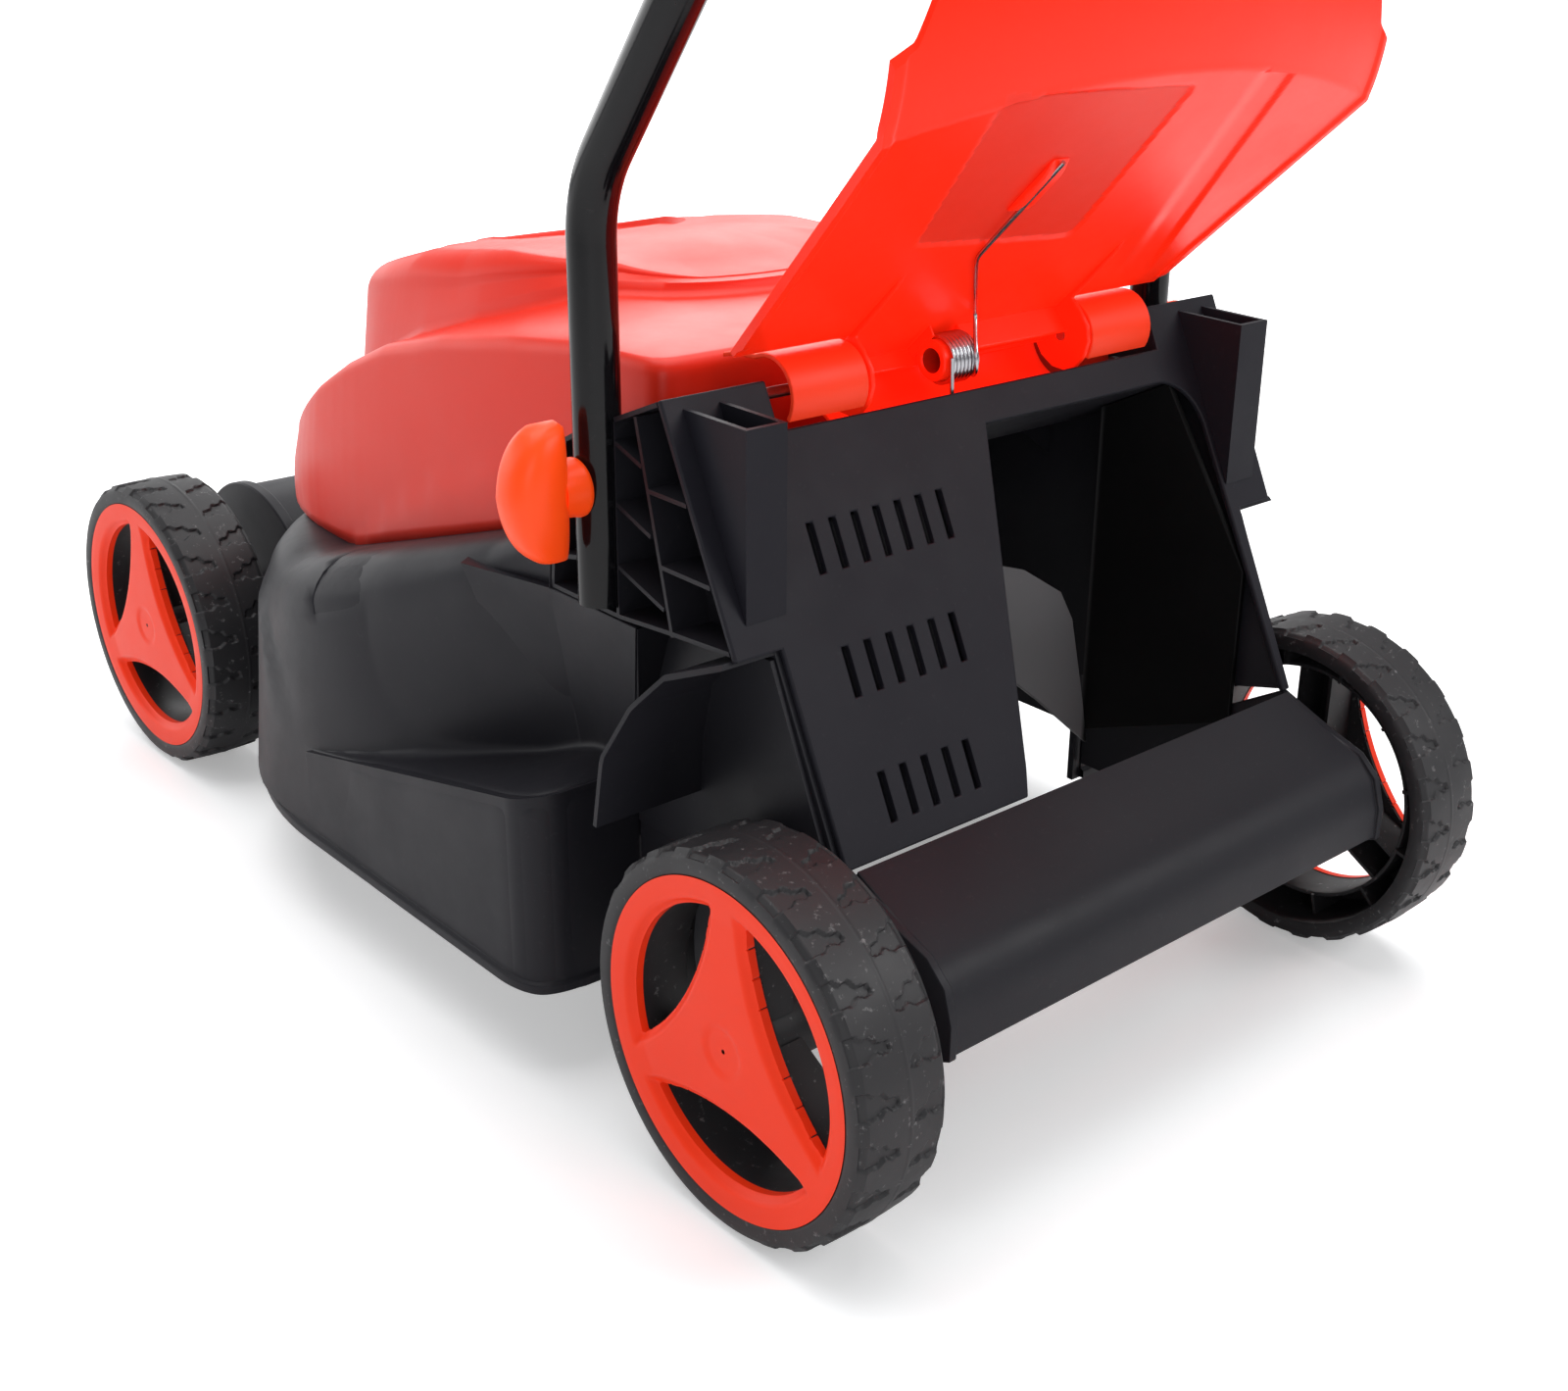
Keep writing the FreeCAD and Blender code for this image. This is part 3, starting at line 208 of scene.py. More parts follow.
SLOT_MATERIAL = {"deck_plastic": DECK, "tyre_black": TYRE, "orange_cap": CAP, "orange_cover": COVER,
                 "orange_flap": FLAP, "orange_knob": KNOB, "tube_paint": TUBE, "axle_steel": STEEL,
                 "spring_steel": SPRING, "grip_foam": FOAM, "switch_plastic": CASE, "pin_brass": BRASS,
                 "motor_iron": IRON, "cast_alloy": ALLOY, "fan_plastic": FAN, "blade_steel": BLADE}
BEVELS = {"deck_housing": 1.2, "rear_panel": 0.8, "handle_bracket_left": 0.5, "handle_bracket_right": 0.5,
          "catcher_posts": 0.7, "wheel_arches": 0.7, "rear_axle_cover": 1.0, "front_axle_housing": 1.0,
          "hinge_covers": 0.7, "chute_baffles": 0.6, "switch_case_front": 0.8, "switch_case_rear": 0.8,
          "cord_hook": 1.2, "mains_inlet": 0.8}


MERGE_GAP = 0.00002
SMOOTH_UNDER = math.radians(32)
BEVEL_OVER = math.radians(40)


def soft_shading():
    """Geometry nodes that smooth a CAD mesh except across its real edges."""
    tree = bpy.data.node_groups.new("SoftShading", "GeometryNodeTree")
    tree.interface.new_socket("Geometry", in_out="INPUT", socket_type="NodeSocketGeometry")
    tree.interface.new_socket("Geometry", in_out="OUTPUT", socket_type="NodeSocketGeometry")
    nodes, links = tree.nodes, tree.links
    enter = nodes.new("NodeGroupInput")
    leave = nodes.new("NodeGroupOutput")
    merge = nodes.new("GeometryNodeMergeByDistance")
    merge.inputs["Distance"].default_value = MERGE_GAP
    angle = nodes.new("GeometryNodeInputMeshEdgeAngle")
    compare = nodes.new("FunctionNodeCompare")
    compare.operation = "LESS_THAN"
    compare.inputs["B"].default_value = SMOOTH_UNDER
    faces = nodes.new("GeometryNodeSetShadeSmooth")
    faces.domain = "FACE"
    edges = nodes.new("GeometryNodeSetShadeSmooth")
    edges.domain = "EDGE"
    links.new(angle.outputs["Unsigned Angle"], compare.inputs["A"])
    links.new(enter.outputs["Geometry"], merge.inputs["Geometry"])
    links.new(merge.outputs["Geometry"], faces.inputs["Geometry"])
    links.new(faces.outputs["Geometry"], edges.inputs["Geometry"])
    links.new(compare.outputs["Result"], edges.inputs["Shade Smooth"])
    links.new(edges.outputs["Geometry"], leave.inputs["Geometry"])
    return tree


def dress_cad_nodes():
    """Give every CAD node its material and its soft edges."""
    soft_group = soft_shading()
    special = {"rear_panel": PANEL, "catcher_posts": PANEL, "chute_baffles": BAFFLE_PAINTED_LIGHT}
    for row in frame["record"]["subparts"]:
        name = row["node"]
        node = frame["nodes"][name]
        node.data.materials.clear()
        node.data.materials.append(special.get(name, SLOT_MATERIAL[row["material_slot"]]))
        soft = node.modifiers.new("Soft", "NODES")
        soft.node_group = soft_group
        if name in BEVELS:
            bevel = node.modifiers.new("Bevel", "BEVEL")
            bevel.width = BEVELS[name] / 1000
            bevel.segments = 2
            bevel.limit_method = "ANGLE"
            bevel.angle_limit = BEVEL_OVER
            bevel.use_clamp_overlap = True
            level = node.modifiers.new("Normals", "WEIGHTED_NORMAL")
            level.keep_sharp = True


dress_cad_nodes()


# ---- mesh tools ------------------------------------------------------------------
def ride_mesh(name, mesh, look, body, stands_for):
    """Make a mesh into a piece that rides on a body and may replace CAD nodes."""
    mesh.materials.append(look)
    piece = bpy.data.objects.new(name, mesh)
    bpy.context.scene.collection.objects.link(piece)
    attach(piece, body)
    if stands_for:
        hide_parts(*stands_for)
    return piece


def new_piece(name, points, faces, look, body, stands_for=(), sharp=35.0):
    """A mesh from millimetre points that rides on a body."""
    mesh = bpy.data.meshes.new(name)
    mesh.from_pydata(metres(points), [], faces)
    mesh.validate()
    mesh.polygons.foreach_set("use_smooth", [True] * len(mesh.polygons))
    mesh.set_sharp_from_angle(angle=math.radians(sharp))
    return ride_mesh(name, mesh, look, body, stands_for)


def grid_faces(rows, cols, start=0, close_cols=False, flip=False):
    """Quads of a grid of points numbered row by row from start."""
    faces = []
    last = cols if close_cols else cols - 1
    for r in range(rows - 1):
        for c in range(last):
            a = start + r * cols + c
            b = start + r * cols + (c + 1) % cols
            quad = (a, b, b + cols, a + cols)
            faces.append(quad[::-1] if flip else quad)
    return faces


def polygon_distance(px, py, corners):
    """Signed distance to a closed polygon, negative inside, for arrays of points."""
    best = np.full(px.shape, 1e9)
    inside = np.zeros(px.shape, bool)
    count = len(corners)
    for i in range(count):
        ax, ay = corners[i]
        bx, by = corners[(i + 1) % count]
        dx, dy = bx - ax, by - ay
        t = np.clip(((px - ax) * dx + (py - ay) * dy) / (dx * dx + dy * dy), 0, 1)
        best = np.minimum(best, np.hypot(px - ax - t * dx, py - ay - t * dy))
        crosses = ((ay > py) != (by > py)) & (px < (bx - ax) * (py - ay) / ((by - ay) or 1e-9) + ax)
        inside ^= crosses
    return np.where(inside, -best, best)


def through(points, x):
    """Height at x on a line drawn through points."""
    return np.interp(x, [p[0] for p in points], [p[1] for p in points])


def ease(x):
    """Smooth step from 0 to 1."""
    x = np.clip(x, 0, 1)
    return x * x * (3 - 2 * x)


# ---- wheels ----------------------------------------------------------------------
WHEEL_R = 85.0
WHEEL_W = 45.5
AXLE_Z = 85.0
WHEELBASE = 576.0
REAR_FACE_X = 208.4
FRONT_FACE_X = 186.2
TREAD_FROM, TREAD_TO = 3.6, 41.9
BLOCKS = 24                     # tread blocks round the tyre
STEPS = 35                      # columns in each block
WELL = [(0, -2), (0.3, 3), (3.2, 5.4), (2.6, 9.5), (6.2, 12), (6.8, 16.5), (10.6, 17.6), (11.4, 14.2),
        (9.6, 11), (12.2, 7.2), (11.6, 3.4), (13.2, -2)]
SHORT_WELL = [(0, -2), (0.4, 3.5), (2.8, 5.5), (3.0, 10.5), (7.6, 12.4), (8.4, 9.6), (6.6, 7.6), (8.6, 4),
              (9.8, -2)]


def tread_height(u, x):
    """Height of the tread at u along the tyre and x in from its face: two rows of wells and a mould line."""
    pitch = 2 * math.pi * WHEEL_R / BLOCKS
    deep = np.full(u.shape, 1e9)
    for k in (-1, 0, 1):
        deep = np.minimum(deep, polygon_distance(u - k * pitch, x - 1.5, WELL))
        shifted = (u - 0.45 * pitch) - k * pitch
        deep = np.minimum(deep, polygon_distance(shifted, WHEEL_W - 1.5 - x, WELL))
    sunk = -1.5 * ease((0.35 - deep) / 0.7)
    seam = 0.25 * np.exp(-((x - 24.5) / 0.55) ** 2)
    crown = -0.0016 * (x - WHEEL_W / 2) ** 2
    return sunk + crown - 0.3 + seam


def tyre_profile():
    """The tyre's shoulders and sides as (depth in from the wheel's face, radius)."""
    outer = [(0.9, 73.9), (0.35, 74.6), (0.15, 76.5), (0.1, 79.0), (0.6, 81.2), (1.6, 82.8), (2.9, 83.9)]
    inner = [(42.6, 83.9), (43.9, 82.8), (44.9, 81.2), (45.4, 79.0), (45.4, 75.0), (44.8, 73.9), (40.0, 73.4),
             (28.0, 73.0), (14.0, 72.8), (9.2, 72.6)]
    return outer, inner


def lens_distance(y, z):
    """Distance outside the nearest of three lens-shaped windows, negative inside."""
    best = np.full(y.shape, 1e9)
    for i in range(3):
        a = math.radians(30 + 120 * i)
        arc = np.hypot(y - 153 * math.cos(a), z - 153 * math.sin(a)) - 123
        best = np.minimum(best, np.maximum(arc, np.hypot(y, z) - 61))
    return best


def windowed_disc(r_in, r_out, r_steps, a_steps, depth, edge_in, lens_grow=0.0):
    """Polar grid with its points near the windows pulled onto their outlines. Returns points and faces.
    depth(r, y, z, d) gives the distance in from the wheel's face, d the distance to a window."""
    radii = np.linspace(r_in, r_out, r_steps)
    angles = np.linspace(0, 2 * math.pi, a_steps, endpoint=False)
    rr, aa = np.meshgrid(radii, angles, indexing="ij")
    y, z = rr * np.cos(aa), rr * np.sin(aa)
    cell = (r_out - r_in) / (r_steps - 1)
    for _ in range(4):
        d = lens_distance(y, z) - lens_grow
        e = 0.01
        gy = (lens_distance(y + e, z) - lens_distance(y - e, z)) / (2 * e)
        gz = (lens_distance(y, z + e) - lens_distance(y, z - e)) / (2 * e)
        norm = np.maximum(np.hypot(gy, gz), 0.3)
        near = (np.abs(d) < 0.55 * cell) & (rr > r_in + 0.1) & (rr < r_out - 0.1)
        y = np.where(near, y - d * gy / norm, y)
        z = np.where(near, z - d * gz / norm, z)
    d = lens_distance(y, z) - lens_grow
    gone = d < -0.03
    x = depth(np.hypot(y, z), y, z, np.maximum(d, 0))
    points = np.stack([x, y, z], -1).reshape(-1, 3)
    faces = []
    flat_gone = gone.reshape(-1)
    for quad in grid_faces(r_steps, a_steps, close_cols=True):
        if not any(flat_gone[i] for i in quad):
            faces.append(quad)
    used = {}
    for quad in faces:
        for i, j in zip(quad, quad[1:] + quad[:1]):
            key = (min(i, j), max(i, j))
            used[key] = used.get(key, 0) + 1
    points = [tuple(p) for p in points]
    walls = []
    made = {}
    inner_ring = a_steps
    outer_ring = (r_steps - 1) * a_steps
    for quad in list(faces):
        for i, j in zip(quad, quad[1:] + quad[:1]):
            if used[(min(i, j), max(i, j))] != 1:
                continue
            if max(i, j) < inner_ring or min(i, j) >= outer_ring:
                continue
            for k in (i, j):
                if k not in made:
                    made[k] = len(points)
                    points.append((edge_in, points[k][1], points[k][2]))
            walls.append((j, i, made[i], made[j]))
    return points, faces + walls


def cap_depth(r, y, z, d):
    """Depth of the cap's face: hub disc, raised borders round the windows and two shallow dents a spoke."""
    base = through([(0, 1.9), (9.5, 1.9), (11.2, 1.25), (12.5, 1.0), (40, 1.5), (58, 1.9), (65, 1.2), (70, 0.7),
                    (74, 0.6)], r)
    base = base + 2.9 * (1 - ease(d / 4.2)) * ease((66 - r) / 4)
    for i in range(3):
        a = math.radians(90 + 120 * i)
        for turn in (-0.26, 0.26):
            my, mz = 53 * math.cos(a + turn), 53 * math.sin(a + turn)
            ly = (y - my) * math.cos(a) + (z - mz) * math.sin(a)
            lz = -(y - my) * math.sin(a) + (z - mz) * math.cos(a)
            base = base - 0.35 * ease((1.15 - np.hypot(ly / 5.5, lz / 3.6)) / 0.3)
    return base


def around(steps, rows):
    """Faces of a closed run of columns, each with the same number of rows."""
    faces = []
    for k in range(steps):
        for i in range(rows - 1):
            a = k * rows + i
            b = ((k + 1) % steps) * rows + i
            faces.append((a, a + 1, b + 1, b))
    return faces


def lathe(profile, steps):
    """A profile of (x, radius) turned about the x axis."""
    points = []
    for k in range(steps):
        a = 2 * math.pi * k / steps
        points.extend([(x, r * math.cos(a), r * math.sin(a)) for x, r in profile])
    return points, around(steps, len(profile))


def join(*meshes):
    points, faces = [], []
    for p, f in meshes:
        start = len(points)
        points.extend(p)
        faces.extend([tuple(i + start for i in face) for face in f])
    return points, faces


def slab(x0, x1, half, r0, r1, angle):
    """A thin radial rib between two radii."""
    ca, sa = math.cos(angle), math.sin(angle)
    corners = []
    for x in (x0, x1):
        for r, h in ((r0, -half), (r1, -half), (r1, half), (r0, half)):
            corners.append((x, r * ca - h * sa, r * sa + h * ca))
    faces = [(0, 1, 2, 3), (7, 6, 5, 4), (0, 4, 5, 1), (1, 5, 6, 2), (2, 6, 7, 3), (3, 7, 4, 0)]
    return corners, faces


def tyre_mesh():
    outer, inner = tyre_profile()
    tread_x = np.linspace(TREAD_FROM, TREAD_TO, 56)
    u = np.arange(STEPS) * (2 * math.pi * WHEEL_R / BLOCKS / STEPS)
    uu, xx = np.meshgrid(u, tread_x, indexing="ij")
    tile = tread_height(uu, xx)
    edge = tread_height(u, np.full(STEPS, TREAD_FROM)), tread_height(u, np.full(STEPS, TREAD_TO))
    points = []
    for k in range(BLOCKS * STEPS):
        a = 2 * math.pi * k / (BLOCKS * STEPS)
        ca, sa = math.cos(a), math.sin(a)
        column = [(x, r + (0.8 * edge[0][k % STEPS] if r > 82 else 0)) for x, r in outer]
        column += [(x, WHEEL_R + h) for x, h in zip(tread_x, tile[k % STEPS])]
        column += [(x, r + (0.8 * edge[1][k % STEPS] if r > 82 else 0)) for x, r in inner]
        points.extend([(x, r * ca, r * sa) for x, r in column])
    return points, around(BLOCKS * STEPS, len(outer) + len(tread_x) + len(inner))


def wheel_back():
    """Web with its windows, inner ring, ribs and hub, all drawn from the wheel's face inwards."""
    front = windowed_disc(6.2, 73.6, 56, 240, lambda r, y, z, d: 0 * r + 5.2, 9.0, 0.4)
    back_points, back_faces = windowed_disc(6.2, 73.6, 56, 240, lambda r, y, z, d: 0 * r + 9.0, 9.0, 0.4)
    back = (back_points, [face[::-1] for face in back_faces])
    ring_profile = [(9, 61.4), (31, 61.6), (31.6, 62.0), (31.8, 62.8), (31.6, 63.5), (31, 63.9), (9, 64.2)]
    ring = lathe(ring_profile, 180)
    hub = lathe([(8, 15), (44.4, 14.6), (45, 14), (45.1, 6.2), (8, 6.2)], 72)
    ribs = [slab(8.5, 33.5, 0.9, 62.5, 73.4, math.radians(30 * i + 15)) for i in range(12)]
    for i in range(3):
        a = math.radians(120 * i + 90)
        for offset in (-9, 9):
            corners, faces = slab(8.5, 29.5, 0.9, 12, 62, a)
            dy, dz = -offset * math.sin(a), offset * math.cos(a)
            ribs.append(([(x, y + dy, z + dz) for x, y, z in corners], faces))
    return join(front, back, ring, hub, *ribs)


def wheels():
    tyre = join(tyre_mesh(), wheel_back())
    cap = windowed_disc(1.0, 73.6, 64, 360, cap_depth, 8.0)
    kinds = (("wheel", tyre, TYRE, "tyre_black"), ("wheel_cap", cap, CAP, "orange_cap"))
    for end, y0, face_x in (("rear", 0.0, REAR_FACE_X), ("front", WHEELBASE, FRONT_FACE_X)):
        for side, sign in (("left", -1), ("right", 1)):
            for kind, mesh, look, slot in kinds:
                points = [(sign * (face_x - x), y0 + y, AXLE_Z + z) for x, y, z in mesh[0]]
                faces = mesh[1] if sign > 0 else [face[::-1] for face in mesh[1]]
                node = kind + "_" + end + "_" + side
                new_piece("vis_" + node, points, faces, look, "wheel_" + end + "_" + side + "_turning",
                          [node], 40.0)


wheels()


# ---- motor cover -----------------------------------------------------------------
DECK_TOP = [(62, 298), (130, 262), (385, 178.5), (560, 172)]
SHELF = [(60, 332), (170, 328), (228, 320), (292, 308), (350, 293), (392, 276), (430, 257), (470, 234),
         (520, 202), (560, 185)]
CROWN = [(190, 322), (214, 337), (240, 343), (300, 341), (380, 331), (440, 317), (480, 301), (510, 282)]
STYLE_ARC = [(200, 262), (229, 261), (287, 239), (337, 212), (376, 185), (400, 165)]
LOWER_PLAN = [(0, 548), (60, 544), (98, 530), (124, 500), (142, 450), (148, 400), (150, 340), (150, 250),
              (147, 170), (146, 122), (139, 114.2), (60, 114.2), (0, 114.2)]
UPPER_PLAN = [(0, 500), (50, 494), (88, 470), (108, 430), (114, 380), (108, 320), (92, 262), (60, 218),
              (0, 204)]
COVER_MID = 379.0


def plan_radius(plan, angles, passes):
    """Distance from the cover's middle to a closed plan outline at each angle from forward."""
    corners = [(x, y) for x, y in plan] + [(-x, y) for x, y in plan[-2:0:-1]]
    for _ in range(passes):
        cut = []
        for (ax, ay), (bx, by) in zip(corners, corners[1:] + corners[:1]):
            cut.append((0.75 * ax + 0.25 * bx, 0.75 * ay + 0.25 * by))
            cut.append((0.25 * ax + 0.75 * bx, 0.25 * ay + 0.75 * by))
        corners = cut
    found = []
    for a in angles:
        dx, dy = math.sin(a), math.cos(a)
        best = 0.0
        for (ax, ay), (bx, by) in zip(corners, corners[1:] + corners[:1]):
            px, py, qx, qy = ax, ay - COVER_MID, bx, by - COVER_MID
            s0 = px * dy - py * dx
            s1 = qx * dy - qy * dx
            if (s0 > 0) != (s1 > 0):
                t = s0 / (s0 - s1)
                along = (px + t * (qx - px)) * dx + (py + t * (qy - py)) * dy
                best = max(best, along)
        found.append(best)
    return np.array(found)


def motor_cover():
    """Rings of points from the cover's foot up its wall, over the shelf and the crown to the sunk disc."""
    count = 360
    angles = np.arange(count) * 2 * math.pi / count
    low = plan_radius(LOWER_PLAN, angles, 2) - 0.3
    high = plan_radius(UPPER_PLAN, angles, 3)
    sx, cy = np.sin(angles), np.cos(angles)
    rows = []

    def row(radius, height):
        rows.append(np.stack([radius * sx, COVER_MID + radius * cy, height], -1))

    def y_at(radius):
        return COVER_MID + radius * cy

    edge = low - 4.5
    shelf = through(SHELF, y_at(edge)) - 1.5
    foot = through(DECK_TOP, y_at(low)) + 0.4
    round_r = np.minimum(8.0, (shelf - foot) * 0.5)
    for k in range(15):
        t = k / 14
        z = foot + (shelf - round_r - foot) * t
        radius = low - 4.5 * t + 1.6 * np.sin(math.pi * t)
        arc = through(STYLE_ARC, y_at(low))
        below = ease((arc - z) / 3.0 + 0.5) * (np.abs(sx) > 0.3) * ease((y_at(low) - 150) / 40)
        row(radius - 1.6 + 1.6 * below - 0.2, z)
    for k in range(1, 6):
        t = math.radians(90 * k / 5)
        row(edge - 1.8 - round_r * (1 - math.cos(t)) * 0.85, shelf - round_r + round_r * math.sin(t))
    inner_edge = edge - 1.8 - round_r * 0.85
    base = np.minimum(high + 9, inner_edge - 2)
    for t in (0.25, 0.5, 0.75, 1.0):
        radius = inner_edge + (base - inner_edge) * t
        row(radius, shelf + 0.4 * t)
    shelf_z = np.minimum(shelf + 0.4, through(CROWN, y_at(high)) - 4)
    wall_r = np.minimum(high + 2, base - 5)
    for k in range(1, 4):
        t = math.radians(90 * k / 3)
        row(base + (wall_r - base) * math.sin(t), shelf_z + 6.0 * (1 - math.cos(t)))
    crown_edge = through(CROWN, y_at(high)) - 1.5
    rise = np.maximum(crown_edge - shelf_z - 6.0, 1.0)
    bend = np.minimum(16.0, rise * 0.55)
    for k in range(1, 6):
        t = k / 5
        row(wall_r - 7.0 * t, shelf_z + 6.0 + (rise - bend) * t)
    top_r = wall_r - 7.0
    for k in range(1, 8):
        t = math.radians(84 * k / 7)
        row(top_r - bend * (1 - math.cos(t)) * 1.25, shelf_z + 6.0 + rise - bend + bend * math.sin(t))
    last_r = top_r - bend * (1 - math.cos(math.radians(84))) * 1.25
    last_z = rows[-1][:, 2]
    ring = 57.0
    for k in range(1, 9):
        t = k / 8
        radius = last_r + (ring - last_r) * t
        flat = through(CROWN, y_at(radius)) + 1.0 - 0.00035 * (radius * sx) ** 2
        row(radius, last_z * (1 - ease(t * 1.6)) + flat * ease(t * 1.6))
    disc = [(55.8, 0.25), (54.8, 1.0), (54.2, 2.2), (53.6, 3.4), (52.0, 4.0), (48.0, 4.2), (30.0, 4.3),
            (10.0, 4.4)]
    for radius, down in disc:
        flat = through(CROWN, y_at(np.full(count, radius))) + 1.0
        row(np.full(count, radius), flat - down)
    points = np.concatenate(rows).tolist()
    faces = grid_faces(len(rows), count, close_cols=True, flip=True)
    centre = len(points)
    points.append([0, COVER_MID, float(through(CROWN, COVER_MID)) - 3.4])
    start = (len(rows) - 1) * count
    faces += [(start + (k + 1) % count, start + k, centre) for k in range(count)]
    piece = new_piece("vis_motor_cover", points, faces, COVER, "chassis", ["motor_cover"],
                      60.0)
    thick = piece.modifiers.new("Wall", "SOLIDIFY")
    thick.thickness = 0.0024
    thick.offset = -1


motor_cover()


# ---- rear flap -------------------------------------------------------------------
FLAP_OPEN = math.radians(46.0)
HINGE = (88.0, 318.0)


def on_flap(points):
    """Points drawn with y off the closed plate and z along it, set at the open angle."""
    c, s = math.cos(FLAP_OPEN), math.sin(FLAP_OPEN)
    return [(x, HINGE[0] + y * c - z * s, HINGE[1] + y * s + z * c) for x, y, z in points]


# Corners of the sunk patch, as x and the distance from the hinge.
PATCH = [(-73, 84), (-93, 168), (3, 166), (17, 75)]


def flap_curl(past):
    """How far the underside stands off the hinge axis, at a distance past the fold where the hood starts."""
    return 12 + 0.45 * past * ease(past / 3) + 0.0075 * past ** 2


def flap_half_width(s):
    """Half the plate's width at a distance from the hinge."""
    return 131 + 15 * np.clip((s - 14) / 141, 0, 1)


def flap_lift(x, s):
    """The underside with its sunk patch, its slanting ridge and its thin rim."""
    fold = 150 + 29 * (1 - np.minimum(np.abs(x) / 146, 1) ** 2)
    past = np.maximum(s - fold, 0)
    lift = flap_curl(past)
    patch = polygon_distance(x, s, PATCH) - 5.0
    lift = lift + 0.9 * ease((0.4 - patch) / 0.8) * (past < 0.5)
    ridge = x - (104 - (s - 20) * 0.32)
    lift = lift + 1.6 * ease((ridge + 14) / 14) * ease((14 - ridge) / 2.0) * ease((s - 18) / 25) * (s < fold)
    rim = np.abs(x) - flap_half_width(s) + 5
    lift = lift - 1.4 * ease((rim + 0.6) / 1.2) * ease((s - 16) / 6)
    return lift


def rear_flap():
    """The plate as two sheets of points, under and over, closed along their rim."""
    near_edge = np.linspace(0.93, 1, 12)[1:]
    across = np.concatenate([np.linspace(-1, -0.93, 12)[:-1], np.linspace(-0.93, 0.93, 190), near_edge])
    along = np.linspace(0, 1, 150)
    uu, vv = np.meshgrid(across, along, indexing="ij")
    reach = through([(0, 229), (0.34, 227.5), (0.62, 221), (0.80, 208), (0.90, 192), (0.94, 180), (1.0, 174)],
                    np.abs(uu))
    s = 13.5 + (reach - 13.5) * vv
    x = uu * (flap_half_width(s) - 0.3)
    under = flap_lift(x, s)
    over = flap_curl(np.maximum(s - 150 - 29 * (1 - uu ** 2), 0)) + 2.7
    low = np.stack([x, under, s], -1).reshape(-1, 3)
    high = np.stack([x, over, s], -1).reshape(-1, 3)
    cols = len(along)
    rows = len(across)
    n = rows * cols
    faces = grid_faces(rows, cols) + grid_faces(rows, cols, n, flip=True)
    rim = [(i * cols, (i + 1) * cols) for i in range(rows - 1)]
    rim += [((i + 1) * cols + cols - 1, i * cols + cols - 1) for i in range(rows - 1)]
    rim += [(j + 1, j) for j in range(cols - 1)]
    rim += [((rows - 1) * cols + j, (rows - 1) * cols + j + 1) for j in range(cols - 1)]
    faces += [(b, a, a + n, b + n) for a, b in rim]
    points = np.concatenate([low, high]).tolist()
    piece = new_piece("vis_flap_plate", on_flap(points), faces, FLAP, "flap", ["rear_flap"],
                      50.0)
    piece.data.materials.append(FLAP_PATCH)
    inside = (polygon_distance(x, s, PATCH) < 5.2).reshape(-1)
    for polygon in piece.data.polygons:
        if all(i < n and inside[i] for i in polygon.vertices):
            polygon.material_index = 1


rear_flap()


FINE_BEVEL = 0.3


def extruded(name, outline, x0, x1, look, body, bevel, flap=False):
    """A plate whose outline is drawn in y and z, between two x, with rounded edges."""
    count = len(outline)
    points = [(x0, y, z) for y, z in outline] + [(x1, y, z) for y, z in outline]
    faces = [tuple(range(count))[::-1], tuple(range(count, 2 * count))]
    faces += [(i, (i + 1) % count, (i + 1) % count + count, i + count) for i in range(count)]
    if flap:
        points = on_flap(points)
    piece = new_piece(name, points, faces, look, body)
    rounding = piece.modifiers.new("Round", "BEVEL")
    rounding.width = bevel / 1000
    rounding.segments = 3
    rounding.limit_method = "ANGLE"
    return piece


EAR_X = 69.0
EAR_T = 2.4


def flap_part(name, outline, x0, x1, bevel, look=FLAP):
    """A plate on the flap, its outline drawn off the plate and along it."""
    extruded("vis_flap_" + name, outline, x0, x1, look, "flap", bevel, True)


def flap_fittings():
    """What the plate carries: ears, root, shelf, recess, lip, the spring's guide and its boss."""
    ear = [(12.6, 62), (10.6, 50), (9.9, 32), (9.7, 16.7), (2, 16.9), (-6, 16.2), (-12, 12), (-16, 5),
           (-16.6, -2), (-14, -9), (-8, -14.4), (0, -16.6), (8, -15.4), (12.6, -13.5)]
    for side, x in (("left", -EAR_X), ("right", EAR_X - EAR_T)):
        flap_part("ear_" + side, ear, x, x + EAR_T, 0.7)
    flap_part("root", [(12.2, -13.9), (12.2, 14.5), (14.7, 14.5), (14.7, -13.9)], -EAR_X, EAR_X, 0.5)
    flap_part("shelf", [(12.6, 6.4), (-0.6, 5.2), (-0.6, 3.2), (12.6, 3.8)], 1, 67, 0.6)
    flap_part("recess", [(12.0, 3.6), (11.4, 3.6), (11.4, -9.5), (12.0, -9.5)], 2, 66, 0.1, FLAP_PATCH)
    flap_part("lip", [(12.6, -11.4), (4.0, -11.4), (4.0, -9.6), (12.6, -9.6)], -EAR_X, EAR_X, 0.5)
    guide = [(12.6, 96), (10.6, 99), (9.9, 103), (9.9, 121), (10.6, 125), (12.6, 130)]
    flap_part("guide", guide, -39, -29, 0.8)
    profile = [(-17.9, 5.6), (-18.5, 6.3), (-18.5, 8.5), (-17.9, 9.2), (1.4, 9.2), (2, 8.6), (2, 0.01)]
    points, faces = lathe(profile, 48)
    new_piece("vis_flap_boss", on_flap(points), faces, FLAP, "flap")
    # The hollow's inner wall gets the darker flap plastic: painted shade in the recess.
    points, faces = lathe([(-17.9, 5.6), (-2, 5.2), (-2, 0.01)], 48)
    new_piece("vis_flap_boss_hollow", on_flap(points), faces, FLAP_PAINTED_SHADE, "flap")
    flap_part("boss_web", [(7.5, -8.6), (7.5, 8.6), (12.6, 9.6), (12.6, -9.6)], -18.4, -17.3, 0.3)


